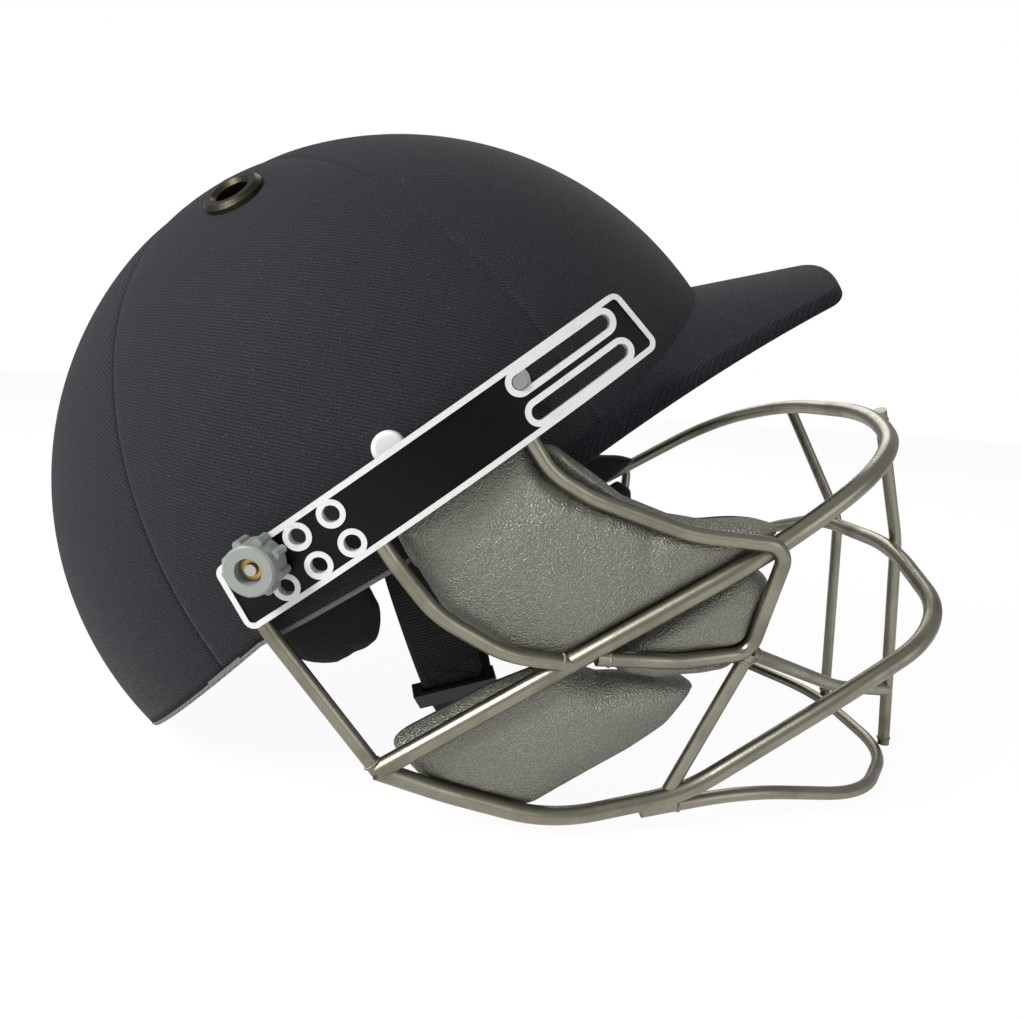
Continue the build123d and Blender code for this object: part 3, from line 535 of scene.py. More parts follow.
@dataclass(frozen=True)
class Thread(Finish):
    """Sewing thread, with the twist of its strands."""

    colour: Colour
    pale: Colour

    def sockets(self, tree: ShaderTree, where: object) -> dict[str, object]:
        """What the sockets get, by name."""
        strands = tree.noise(where, 3000.0, 1.0)
        return {
            "Base Color": tree.blend(strands, self.colour, self.pale),
            "Roughness": 0.6 + strands * 0.2,
            "Normal": tree.bump(strands, 0.08 * MM, 0.6),
        }


class Finishes:
    """Every finish of the helmet, made once and found by its slot."""

    def __init__(self) -> None:
        """Makes the finishes."""
        metal = ((0.330, 0.314, 0.250), (0.170, 0.160, 0.120))
        made = (
            TwillCloth("cover_cloth", Space.UV),
            TwillCloth(
                "peak_cloth",
                Space.OBJECT,
                (0.0012, 0.0012, 0.0020), (0.0240, 0.0238, 0.0320),
                slant=math.radians(-48),
            ),
            MouldedPlastic(
                "shell_plastic", (0.012, 0.012, 0.013), (0.035, 0.035, 0.036), 0.5
            ),
            SoftFabric(
                "liner_foam", (0.016, 0.016, 0.017), (0.042, 0.042, 0.044), 2.6 * MM
            ),
            MouldedPlastic(
                "trim", (0.150, 0.152, 0.160), (0.240, 0.242, 0.250), 0.55, 0.0, 900.0
            ),
            SoftFabric("lining", (0.0045, 0.0045, 0.0045), (0.016, 0.016, 0.016)),
            Webbing("webbing"),
            MouldedPlastic(
                "slider_plastic", (0.010, 0.010, 0.010), (0.040, 0.040, 0.038), 0.42
            ),
            SatinMetal(
                "eyelet_metal", (0.075, 0.068, 0.046), (0.022, 0.020, 0.014), 0.30
            ),
            MouldedPlastic(
                "white_cap", (0.800, 0.800, 0.790), (0.620, 0.610, 0.580), 0.28, 0.4
            ),
            SatinMetal("screw_steel", (0.520, 0.530, 0.520), (0.300, 0.300, 0.290)),
            MouldedPlastic(
                "spacer_plastic", (0.330, 0.340, 0.330), (0.440, 0.440, 0.420), 0.45
            ),
            MouldedPlastic(
                "plate_white", (0.700, 0.710, 0.690), (0.560, 0.560, 0.530), 0.38, 0.2
            ),
            MouldedPlastic(
                "plate_black", (0.0026, 0.0027, 0.0026), (0.005, 0.005, 0.005),
                0.26,
                specular=0.16,
            ),
            MouldedPlastic(
                "knob_plastic", (0.260, 0.280, 0.260), (0.170, 0.180, 0.165), 0.32, 0.25
            ),
            SatinMetal("insert_brass", (0.560, 0.370, 0.110), (0.300, 0.180, 0.050)),
            PaddedLeather("pad_leather"),
            SatinMetal("guard_metal", *metal, 0.27),
            SatinMetal("weld_metal", *metal, 0.40, 1600.0, 0.08 * MM),
            Thread("dark_thread", (0.006, 0.006, 0.006), (0.022, 0.022, 0.021)),
            Thread("grey_thread", (0.130, 0.125, 0.105), (0.260, 0.255, 0.220)),
        )
        self._made = {finish.name: finish.build() for finish in made}

    def __getitem__(self, name: str) -> bpy.types.Material:
        """The finish of that name."""
        return self._made[name]


class Piece:
    def __init__(self, obj: bpy.types.Object) -> None:
        """Takes an object whose mesh is in place."""
        self.obj = obj

    @classmethod
    def from_lists(
        cls,
        name: str,
        points: Sequence[Sequence[float]],
        faces: Sequence[Sequence[int]],
        edges: Sequence[Sequence[int]] = (),
    ) -> "Piece":
        """Piece from lists of points, faces and loose edges.

        Args:
            name: Name of the piece.
            points: Points in metres.
            faces: Corners of each face.
            edges: Ends of each loose edge.

        Returns:
            The piece.
        """
        mesh = bpy.data.meshes.new(name)
        mesh.from_pydata([tuple(p) for p in points], list(edges), list(faces))
        mesh.update()
        obj = bpy.data.objects.new(name, mesh)
        bpy.context.scene.collection.objects.link(obj)
        return cls(obj)

    def modifier(self, kind: str, **settings: object) -> bpy.types.Modifier:
        """Adds a modifier of a kind with its settings."""
        made = self.obj.modifiers.new(kind.title(), kind)
        for key, setting in settings.items():
            setattr(made, key, setting)
        return made

    def apply(self) -> "Piece":
        """Turns the piece, with its modifiers, into a plain mesh."""
        graph = bpy.context.evaluated_depsgraph_get()
        graph.update()
        done = bpy.data.meshes.new_from_object(self.obj.evaluated_get(graph))
        old = self.obj.data
        self.obj.modifiers.clear()
        self.obj.data = done
        bpy.data.meshes.remove(old)
        done.name = self.obj.name
        return self

    def smooth(self) -> "Piece":
        """Shades every face smooth."""
        faces = self.obj.data.polygons
        faces.foreach_set("use_smooth", [True] * len(faces))
        return self

    def outward(self, merge: float = 0.01 * MM) -> "Piece":
        """Merges doubles and points every face outwards."""
        mesh = bmesh.new()
        mesh.from_mesh(self.obj.data)
        bmesh.ops.remove_doubles(mesh, verts=mesh.verts, dist=merge)
        bmesh.ops.recalc_face_normals(mesh, faces=mesh.faces)
        mesh.to_mesh(self.obj.data)
        mesh.free()
        return self

    def dress(
        self,
        finish: bpy.types.Material,
        body: Body,
        slot: str,
        nodes: Iterable[str] = (),
    ) -> "Piece":
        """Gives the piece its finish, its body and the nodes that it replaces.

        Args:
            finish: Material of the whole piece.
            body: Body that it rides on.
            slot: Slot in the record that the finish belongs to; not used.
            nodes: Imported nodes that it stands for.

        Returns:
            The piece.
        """
        self.obj.data.materials.clear()
        self.obj.data.materials.append(finish)
        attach(self.obj, body.value)
        if nodes:
            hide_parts(*nodes)
        LOG.info(
            "%s: %d faces on %s", self.obj.name, len(self.obj.data.polygons), body.value
        )
        return self


class InstanceRun:
    """Geometry Nodes tree that repeats a small bead along lines.

    A long bead is a stitch, and a round one with a random size is a weld bead.
    """

    INPUTS = (
        ("Pitch", "NodeSocketFloat", 3.0 * MM),
        ("Width", "NodeSocketFloat", 0.4 * MM),
        ("Length", "NodeSocketFloat", 1.0 * MM),
        ("Unevenness", "NodeSocketFloat", 0.0),
        ("Seed", "NodeSocketInt", 7),
        ("Finish", "NodeSocketMaterial", None),
    )

    def __init__(self) -> None:
        """Builds the tree."""
        self.tree = bpy.data.node_groups.new("bead_run", "GeometryNodeTree")
        face = self.tree.interface
        face.new_socket("Lines", in_out="INPUT", socket_type="NodeSocketGeometry")
        for name, kind, value in self.INPUTS:
            made = face.new_socket(name, in_out="INPUT", socket_type=kind)
            if value is not None:
                made.default_value = value
        face.new_socket("Beads", in_out="OUTPUT", socket_type="NodeSocketGeometry")
        self._lay_out()

    def _node(
        self, kind: str, settings: dict | None = None, **inputs: object
    ) -> bpy.types.Node:
        """Makes a node, with its settings, and links or sets its sockets."""
        made = self.tree.nodes.new(kind)
        for key, setting in (settings or {}).items():
            setattr(made, key, setting)
        for key, given in inputs.items():
            socket = made.inputs[key.replace("_", " ")]
            if isinstance(given, bpy.types.NodeSocket):
                self.tree.links.new(given, socket)
            else:
                socket.default_value = given
        return made

    def _lay_out(self) -> None:
        """Makes and links the nodes."""
        given = self._node("NodeGroupInput").outputs
        line = self._node("GeometryNodeMeshToCurve", Mesh=given["Lines"])
        spaced = self._node(
            "GeometryNodeResampleCurve",
            {"mode": "LENGTH"},
            Curve=line.outputs[0],
            Length=given["Pitch"],
        )
        ball = self._node("GeometryNodeMeshUVSphere", Segments=8, Rings=6, Radius=0.5)
        tangent = self._node("GeometryNodeInputTangent")
        lined_up = self._node(
            "FunctionNodeAlignRotationToVector",
            {"axis": "Z"},
            Vector=tangent.outputs[0],
        )
        size = self._node(
            "ShaderNodeCombineXYZ",
            X=given["Width"],
            Y=given["Width"],
            Z=given["Length"],
        )
        low = self._node("ShaderNodeMath", {"operation": "SUBTRACT"})
        low.inputs[0].default_value = 1.0
        self.tree.links.new(given["Unevenness"], low.inputs[1])
        random = self._node("FunctionNodeRandomValue", {"data_type": "FLOAT"})
        self.tree.links.new(low.outputs[0], random.inputs[2])
        random.inputs[3].default_value = 1.0
        self.tree.links.new(given["Seed"], random.inputs["Seed"])
        scaled = self._node("ShaderNodeVectorMath", {"operation": "SCALE"})
        self.tree.links.new(size.outputs[0], scaled.inputs[0])
        self.tree.links.new(random.outputs[1], scaled.inputs["Scale"])
        placed = self._node(
            "GeometryNodeInstanceOnPoints",
            Points=spaced.outputs[0],
            Instance=ball.outputs[0],
            Rotation=lined_up.outputs[0],
            Scale=scaled.outputs[0],
        )
        real = self._node("GeometryNodeRealizeInstances", Geometry=placed.outputs[0])
        finished = self._node(
            "GeometryNodeSetMaterial",
            Geometry=real.outputs[0],
            Material=given["Finish"],
        )
        smooth = self._node("GeometryNodeSetShadeSmooth", Geometry=finished.outputs[0])
        self._node("NodeGroupOutput", Beads=smooth.outputs[0])

    def make(
        self,
        name: str,
        lines: Sequence[Sequence[Vector]],
        finish: bpy.types.Material,
        **sizes: float,
    ) -> Piece:
        """Beads along some lines, as one plain mesh.

        Args:
            name: Name of the piece.
            lines: Points of each line in metres, closed where the ends meet.
            finish: Material of the beads.
            sizes: Named inputs of the tree.

        Returns:
            The piece.
        """
        points: list[Vector] = []
        edges: list[tuple[int, int]] = []
        for line in lines:
            first = len(points)
            points += line
            edges += [(first + k, first + k + 1) for k in range(len(line) - 1)]
        piece = Piece.from_lists(name, points, (), edges)
        modifier = piece.modifier("NODES", node_group=self.tree)
        values = {**sizes, "Finish": finish}
        for item in self.tree.interface.items_tree:
            if item.in_out == "INPUT" and item.name in values:
                modifier[item.identifier] = values[item.name]
        return piece.apply()


@dataclass
class ClothCover:
    """Six sewn cloth panels over the shell, drawn in at their seams."""

    place: Placement
    half_length: float = 137.25 * MM
    half_width: float = 112.0 * MM
    rim_drop: float = 3.0 * MM
    nape_drop: float = 20.0 * MM
    nape_start: float = 52.0 * MM
    thickness: float = 0.9 * MM
    seam_depth: float = 0.50 * MM
    seam_width: float = 1.2 * MM
    swell: float = 0.35 * MM
    hem: float = 0.6 * MM
    vent: Point = (7.0 * MM, 56.0 * MM, 118.0 * MM)
    vent_radius: float = 7.6 * MM
    cutter_reach: float = 12 * MM
    cutter_corners: int = 40
    even_share: float = 0.55
    crown_share: float = 0.002
    swell_widths: float = 6.0
    columns: int = 44
    rows: int = 84
    flat: tuple[float, float] = (0.150, 0.225)

    def rim_height(self, x: float) -> float:
        """Height of the rim line at a place along the helmet."""
        fall = (self.nape_drop - self.rim_drop) / (self.half_length - self.nape_start)
        return -self.rim_drop - max(0.0, -x - self.nape_start) * fall

    def rim_angle(self, turn: float) -> float:
        """Angle from the crown to the rim, in one direction.

        Args:
            turn: Direction round the shell, in radians.

        Returns:
            The angle in radians.
        """
        angle = math.pi / 2
        for _ in range(12):
            x = self.half_length * math.sin(angle) * math.cos(turn)
            height = self.rim_height(x) - self.hem
            angle = math.acos(max(-1.0, height / self.half_length))
        return angle

    def skin(self, turn: float, angle: float, inset: float) -> Vector:
        """Point of the cover in the helmet's frame.

        Args:
            turn: Direction round the shell.
            angle: Angle from the crown.
            inset: Depth under the shell's full size.

        Returns:
            The point in metres.
        """
        long = self.half_length - inset
        wide = self.half_width - inset
        return Vector(
            (
                long * math.sin(angle) * math.cos(turn),
                wide * math.sin(angle) * math.sin(turn),
                long * math.cos(angle),
            )
        )

    def panel(self, name: str, first: float, last: float) -> Piece:
        """One panel between two seams, as a thin closed sheet.

        Args:
            name: Name of the piece.
            first: Direction of one seam in degrees.
            last: Direction of the other seam in degrees.

        Returns:
            The panel.
        """
        points, faces, maps = [], [], []
        middle = math.radians((first + last) / 2)
        for row in range(self.rows + 1):
            for column in range(self.columns + 1):
                share = column / self.columns
                even = 0.5 - 0.5 * math.cos(math.pi * share)
                spread = self.even_share * even + (1 - self.even_share) * share
                turn = math.radians(first + (last - first) * spread)
                fall = self.crown_share + (1 - self.crown_share) * row / self.rows
                angle = self.rim_angle(turn) * fall
                radius = self.half_length * math.sin(angle)
                reach = radius * math.radians(last - first)
                edge = min(spread, 1 - spread) * reach
                dip = self.seam_depth * math.exp(-((edge / self.seam_width) ** 2))
                flank = edge / (self.swell_widths * self.seam_width)
                crown = self.swell * (1 - math.exp(-(flank**2)))
                points.append(self.place.matrix @ self.skin(turn, angle, dip - crown))
                maps.append(((turn - middle) * radius, angle * self.half_length))
        wide = self.columns + 1
        for row in range(self.rows):
            for column in range(self.columns):
                corner = row * wide + column
                faces.append((corner, corner + wide, corner + wide + 1, corner + 1))
        piece = Piece.from_lists(name, points, faces)
        layer = piece.obj.data.uv_layers.new(name="cloth")
        for loop in piece.obj.data.loops:
            layer.data[loop.index].uv = maps[loop.vertex_index]
        return piece

    def vent_cutter(self, side: Side) -> Piece:
        """Rod along the vent's bore, to cut the panel with."""
        x, y, _ = self.vent
        y *= side.value
        rest = 1 - (x / self.half_length) ** 2 - (y / self.half_width) ** 2
        z = self.half_length * math.sqrt(rest)
        long, wide = self.half_length**2, self.half_width**2
        out = Vector((x / long, y / wide, z / long)).normalized()
        centre = Vector((x, y, z))
        turn = out.to_track_quat("Z", "Y").to_matrix()
        ring = self.cutter_corners
        points = []
        for level in (-self.cutter_reach, self.cutter_reach):
            for step in range(ring):
                angle = 2 * math.pi * step / ring
                flat = Vector((math.cos(angle), math.sin(angle), 0)) * self.vent_radius
                flat.z = level
                points.append(self.place.matrix @ (centre + turn @ flat))
        faces = [tuple(range(ring))[::-1], tuple(range(ring, 2 * ring))]
        for step in range(ring):
            after = (step + 1) % ring
            faces.append((step, after, ring + after, ring + step))
        return Piece.from_lists(f"vent_cutter_{side.word}", points, faces)

    def build(self, finishes: Finishes) -> None:
        for index, place in enumerate(
            ("front_left", "left", "rear_left", "rear_right", "right", "front_right")
        ):
            piece = self.panel(f"cover_{place}", index * 60.0, index * 60.0 + 60.0)
            piece.modifier("SOLIDIFY", thickness=self.thickness, offset=-1.0)
            piece.apply().outward()
            if place in ("left", "right"):
                cutter = self.vent_cutter(Side[place.upper()])
                piece.modifier("BOOLEAN", object=cutter.obj, operation="DIFFERENCE")
                piece.apply()
                bpy.data.objects.remove(cutter.obj)
            piece.smooth()
            piece.dress(
                finishes["cover_cloth"],
                Body.HELMET,
                "cover_cloth",
                [f"cover_panel_{place}"],
            )


@dataclass
class SoftPads:
    """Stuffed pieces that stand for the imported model's soft solids."""

    frame: dict
    voxel: float = 1.5 * MM
    pressure: float = 4.0
    frames: int = 20
    quality: int = 4
    relax: float = 0.5
    fits: int = 2

    def copy(self, name: str, node: str) -> Piece:
        """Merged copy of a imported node, as a piece of that name."""
        obj = bpy.data.objects.new(name, self.frame["nodes"][node].data.copy())
        bpy.context.scene.collection.objects.link(obj)
        return Piece(obj).outward()

    def nodes_tree(self, nodes: Iterable[str]) -> BVHTree:
        """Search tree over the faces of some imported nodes."""
        points: list[Vector] = []
        faces: list[list[int]] = []
        for name in nodes:
            mesh = self.frame["nodes"][name].data
            first = len(points)
            points += [vertex.co.copy() for vertex in mesh.vertices]
            faces += [[first + k for k in face.vertices] for face in mesh.polygons]
        return BVHTree.FromPolygons(points, faces)

    def inflate(self, piece: Piece, cap: float) -> None:
        """Swells a pad with a cloth simulation, each point by a capped way.

        Args:
            piece: The pad.
            cap: Furthest that a point may move, in metres.
        """
        rest = [vertex.co.copy() for vertex in piece.obj.data.vertices]
        cloth = piece.modifier("CLOTH")
        cloth.settings.use_pressure = True
        cloth.settings.uniform_pressure_force = self.pressure
        cloth.settings.effector_weights.gravity = 0
        cloth.settings.quality = self.quality
        cloth.point_cache.frame_end = self.frames
        scene = bpy.context.scene
        for step in range(1, self.frames + 1):
            scene.frame_set(step)
        piece.apply()
        scene.frame_set(1)
        for vertex, start in zip(piece.obj.data.vertices, rest):
            way = vertex.co - start
            if way.length > cap:
                vertex.co = start + way.normalized() * cap

    def make(
        self,
        piece: Piece,
        voxel: float,
        cap: float,
        fit: Callable[[Piece], None] | None = None,
    ) -> Piece:
        """One pad: its solid with an even mesh, swollen, fitted and smoothed.

        Args:
            piece: Closed solid that the pad starts from.
            voxel: Size of the mesh's squares.
            cap: Furthest that a point may move.
            fit: Moves the points to suit what the pad lies against.

        Returns:
            The pad.
        """
        piece.modifier("REMESH", mode="VOXEL", voxel_size=voxel, use_smooth_shade=True)
        piece.modifier("SMOOTH", factor=self.relax, iterations=4)
        piece.apply()
        self.inflate(piece, cap)
        for _ in range(self.fits):
            if fit:
                fit(piece)
            piece.modifier("SMOOTH", factor=self.relax, iterations=2)
            piece.apply()
        piece.modifier("SUBSURF", levels=1, render_levels=1)
        return piece.apply().smooth()


@dataclass
class CheekPads:
    """Leather pads behind the face guard's wires, three on each side."""

    place: Placement
    pads: SoftPads
    side: float = 109.5 * MM
    lean: float = math.radians(11.0)
    thickness: float = 15.0 * MM
    levels: tuple[tuple[float, float], ...] = (
        (-0.56, 0.62), (-0.50, 0.88), (-0.28, 0.97), (0.0, 1.0), (0.28, 0.97),
        (0.50, 0.88), (0.56, 0.62),
    )
    outlines: tuple[tuple[str, tuple[tuple[float, float], ...]], ...] = (
        (
            "cheek",
            (
                (0.6, 7.0), (43.5, 9.0), (52.0, 3.5), (62.8, -21.0), (72.8, -34.6),
                (81.6, -42.6), (95.0, -51.5), (101.0, -58.0), (91.0, -59.8),
                (57.0, -61.2), (33.0, -63.0), (22.5, -62.0), (7.4, -44.0),
                (-0.8, -22.0),
            ),
        ),
        (
            "front",
            (
                (35.0, -64.0), (86.5, -61.8), (90.3, -70.0), (80.2, -86.0),
                (73.4, -90.4), (62.0, -88.6), (42.0, -78.0), (33.0, -69.5),
            ),
        ),
        (
            "jaw",
            (
                (-38.0, -52.0), (-3.0, -54.0), (19.0, -58.0), (29.0, -69.5),
                (43.0, -80.0), (54.5, -90.0), (41.0, -96.2), (26.0, -97.2),
                (-16.0, -96.0), (-26.0, -92.6), (-35.6, -79.5),
            ),
        ),
    )
    wires: tuple[str, ...] = (
        "rear_post", "rear_wire", "front_wire", "pad_wire", "strut",
    )
    bars: tuple[str, ...] = ("top_bar", "second_bar", "mid_bar")
    gap: float = 0.35 * MM
    shell_gap: float = 1.15 * MM
    reach: float = 20.0 * MM
    groove: float = 1.7 * MM
    groove_slack: float = 0.6
    swell_cap: float = 1.2 * MM
    slide_tilt: float = math.radians(3.5)
    slide_travel: float = 22.4 * MM
    slide_shares: tuple[float, ...] = (0, 0.3, 0.65, 1)
    dent_x: float = 66.5 * MM
    dent_z: float = -30.0 * MM
    dent_slant: float = 0.58
    dent_width: float = 3.6 * MM
    dent_depth: float = 1.3 * MM
    dent_length: float = 14.0 * MM
    lining_edge: float = -2.0 * MM
    lining_blend: float = 0.8 * MM

    def outward(self, side: Side) -> Vector:
        """Way out of a pad's outer face, in the helmet's frame."""
        return Vector((0, side.value * math.cos(self.lean), -math.sin(self.lean)))

    def packed(self, way: Sequence[float]) -> Vector:
        """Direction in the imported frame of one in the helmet's."""
        return self.place.matrix.to_3x3() @ Vector(way)

    def stuffed(
        self, name: str, side: Side, outline: Sequence[tuple[float, float]]
    ) -> Piece:
        """Closed form on the leaning plane, drawn in towards its two faces.

        Args:
            name: Name of the piece.
            side: Side of the wearer.
            outline: Corners of the pad, in millimetres.

        Returns:
            The piece.
        """
        count = len(outline)
        middle = [sum(part) / count for part in zip(*outline)]
        points, faces = [], []
        for level, size in self.levels:
            lift = self.outward(side) * level * self.thickness
            for corner in outline:
                x, z = (m + (c - m) * size for m, c in zip(middle, corner))
                out = self.side + z * MM * math.tan(self.lean)
                base = Vector((x * MM, side.value * out, z * MM))
                points.append(self.place.matrix @ (base + lift))
        for ring in range(len(self.levels) - 1):
            for k in range(count):
                low, after = ring * count, (k + 1) % count
                high = low + count
                faces.append((low + k, low + after, high + after, high + k))
        faces.append(tuple(range(count)))
        faces.append(tuple(range(len(points) - count, len(points))))
        return Piece.from_lists(name, points, faces).outward()

    def fitter(self, side: Side, kind: str) -> Callable[[Piece], None]:
        """Function that fits a pad behind the wires and over the shell's edge.

        Args:
            side: Side of the wearer.
            kind: Which of the three pads it is.

        Returns:
            The function.
        """
        wires = [f"{wire}_{side.word}" for wire in self.wires]
        front = self.pads.nodes_tree(
            wires + list(self.bars) + [f"side_plate_{side.word}"]
        )
        covers = ("", "front_", "rear_")
        shell = self.pads.nodes_tree(
            [f"cover_panel_{cover}{side.word}" for cover in covers]
            + ["rim_trim", "peak", "outer_shell"]
        )
        out = self.packed(self.outward(side))
        along = self.packed((math.cos(self.slide_tilt), 0, math.sin(self.slide_tilt)))
        up = out.cross(along)
        spots = [(Vector(), 0.0)]
        for way in (along, -along, up, -up):
            spots.append((way * self.groove, self.groove_slack * self.groove))
        slides = [along * self.slide_travel * share for share in self.slide_shares]

        def fit(piece: Piece) -> None:
            """Moves the points of one pad."""
            for vertex in piece.obj.data.vertices:
                start = vertex.co - out * self.reach
                far = self.reach
                for spot, slack in spots:
                    hit = front.ray_cast(start + spot, out, 2 * self.reach)
                    if hit[0] is not None:
                        far = min(far, hit[3] - self.gap + slack)
                place = start + out * far
                if kind == "cheek":
                    place = self.dented(place)
                    over = place + out * self.reach
                    push = 0.0
                    for slide in slides:
                        for spot, _ in spots:
                            hit = shell.ray_cast(over + spot - slide, -out, self.reach)
                            if hit[0] is not None:
                                push = max(push, self.reach - hit[3] + self.shell_gap)
                    place += out * push
                vertex.co = place

        return fit

    def dented(self, point: Vector) -> Vector:
        """Presses its share of the upright dent, in each fit, into the outer face."""
        inner = self.place.matrix.inverted() @ point
        across = inner.x - self.dent_x - self.dent_slant * (inner.z - self.dent_z)
        along = (inner.z - self.dent_z) / self.dent_length
        fade = math.exp(-((across / self.dent_width) ** 2) - along**2)
        press = self.dent_depth / self.pads.fits * fade
        if abs(inner.y) > self.side + inner.z * math.tan(self.lean):
            inner.y -= math.copysign(press, inner.y)
        return self.place.matrix @ inner

    def line(self, pad: Piece) -> None:
        """Marks the face towards the head, which the black lining covers."""
        back = self.place.matrix.inverted()
        shares = []
        for vertex in pad.obj.data.vertices:
            inner = back @ vertex.co
            out = (abs(inner.y) - self.side) * math.cos(self.lean)
            depth = self.lining_edge - out + inner.z * math.sin(self.lean)
            shares.append(min(1.0, max(0.0, depth / self.lining_blend)))
        layer = pad.obj.data.attributes.new("lined", "FLOAT", "POINT")
        layer.data.foreach_set("value", shares)

    def build(self, finishes: Finishes) -> None:
        """Makes and dresses the pads of both sides."""
        for side in Side:
            for kind, outline in self.outlines:
                form = self.stuffed(f"{kind}_leather_{side.word}", side, outline)
                fit = self.fitter(side, kind)
                pad = self.pads.make(form, self.pads.voxel, self.swell_cap, fit)
                self.line(pad)
                node = f"{kind}_pad_{side.word}"
                pad.dress(finishes["pad_leather"], Body.GUARD, "pad_leather", [node])


@dataclass
class Lining:
    """Comfort pads inside the shell and the flaps over the ears."""

    pads: SoftPads
    nodes: tuple[str, ...] = (
        "brow_pad", "nape_pad", "crown_pad", "ear_flap_right", "ear_flap_left",
    )
    voxel: float = 3.0 * MM
    swell_cap: float = 1.5 * MM

    def build(self, finishes: Finishes) -> None:
        """Makes and dresses the pads."""
        for node in self.nodes:
            form = self.pads.copy(f"{node}_cloth", node)
            pad = self.pads.make(form, self.voxel, self.swell_cap)
            pad.dress(finishes["lining"], Body.HELMET, "lining", [node])


@dataclass
class ChinStrap:
    """Ribbed webbing from both sides of the shell, joined by the slider."""

    place: Placement
    lean: float = math.radians(-18.0)
    root_x: float = -3.0
    root_z: float = -12.0
    width: float = 22.0
    thickness: float = 1.9
    step: float = 1.6
    selvedge: float = 0.35
    selvedge_steps: tuple[float, float, float] = (0.5, 1.8, 2.4)
    roundings: int = 4
    side_route: tuple[tuple[float, float], ...] = (
        (88.5, 45.0), (88.5, 2.0), (80.0, -20.0),
    )
    long_route: tuple[tuple[float, float], ...] = (
        (66.0, -47.0), (48.0, -66.0), (24.0, -80.5), (0.0, -85.0), (-24.0, -80.5),
        (-44.0, -66.0), (-59.0, -53.0),
    )
    short_route: tuple[tuple[float, float], ...] = ((-68.0, -42.0), (-59.6, -52.4))

    def point(self, along: float, up: float, across: float) -> Vector:
        """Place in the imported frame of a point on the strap's leaning plane.

        Args:
            along: Distance to the wearer's left in millimetres.
            up: Distance up the plane.
            across: Distance across the strap's width.

        Returns:
            The point in metres.
        """
        x = self.root_x + across * math.cos(self.lean) - up * math.sin(self.lean)
        z = self.root_z + across * math.sin(self.lean) + up * math.cos(self.lean)
        return self.place.point(x, along, z)

    def line(self, points: Sequence[tuple[float, float]]) -> list[tuple[float, float]]:
        """Smooth line that rounds the corners of a route.

        Args:
            points: Corners on the strap's plane in millimetres.

        Returns:
            Points at even steps.
        """
        rounded = list(points)
        for _ in range(self.roundings):
            cut = [rounded[0]]
            for (a, b), (c, d) in zip(rounded, rounded[1:]):
                cut.append((a * 0.75 + c * 0.25, b * 0.75 + d * 0.25))
                cut.append((a * 0.25 + c * 0.75, b * 0.25 + d * 0.75))
            rounded = cut + [rounded[-1]]
        out = [rounded[0]]
        left = self.step
        for (a, b), (c, d) in zip(rounded, rounded[1:]):
            run = math.hypot(c - a, d - b)
            gone = 0.0
            while run - gone >= left:
                gone += left
                share = gone / run
                out.append((a + (c - a) * share, b + (d - b) * share))
                left = self.step
            left -= run - gone
        return out + [rounded[-1]]

    def band(self, name: str, points: Sequence[tuple[float, float]]) -> Piece:
        """Webbing along a route, with thicker woven edges and closed ends.

        Args:
            name: Name of the piece.
            points: Corners of the route.

        Returns:
            The strap.
        """
        line = self.line(points)
        half, thick = self.width / 2, self.thickness / 2
        edge = thick + self.selvedge / 2
        near, wide, flat = (half - step for step in self.selvedge_steps)
        right = [(flat, -thick), (wide, -edge), (near, -edge), (half, -thick * 0.5)]
        left = [(-across, out) for across, out in reversed(right)]
        section = left + [(0.0, -thick)] + right
        section += [(a, -b) for a, b in reversed(section)]
        count = len(section)
        where, faces, maps = [], [], []
        for index, (y, up) in enumerate(line):
            before, after = line[max(index - 1, 0)], line[min(index + 1, len(line) - 1)]
            run = Vector((after[0] - before[0], after[1] - before[1])).normalized()
            for across, out in section:
                where.append(self.point(y - run.y * out, up + run.x * out, across))
                maps.append((across * MM, index * self.step * MM))
        for ring in range(len(line) - 1):
            for k in range(count):
                after = (k + 1) % count
                low, high = ring * count, (ring + 1) * count
                faces.append((low + k, low + after, high + after, high + k))
        last = (len(line) - 1) * count
        faces.append(tuple(range(count))[::-1])
        faces.append(tuple(range(last, last + count)))
        piece = Piece.from_lists(name, where, faces)
        layer = piece.obj.data.uv_layers.new(name="weave")
        for loop in piece.obj.data.loops:
            layer.data[loop.index].uv = maps[loop.vertex_index]
        return piece.outward(0.001 * MM).smooth()

    def build(self, finishes: Finishes) -> None:
        """Makes and dresses both straps."""
        mirrored = tuple((-y, up) for y, up in self.side_route)
        routes = {
            "long": self.side_route + self.long_route,
            "short": mirrored + self.short_route,
        }
        for word, route in routes.items():
            strap = self.band(f"strap_webbing_{word}", route)
            area = self.width * len(self.line(route)) * self.step * MM * MM
            strap.dress(
                finishes["webbing"],
                Body.HELMET,
                "webbing",
                [f"chin_strap_{word}"],
            )


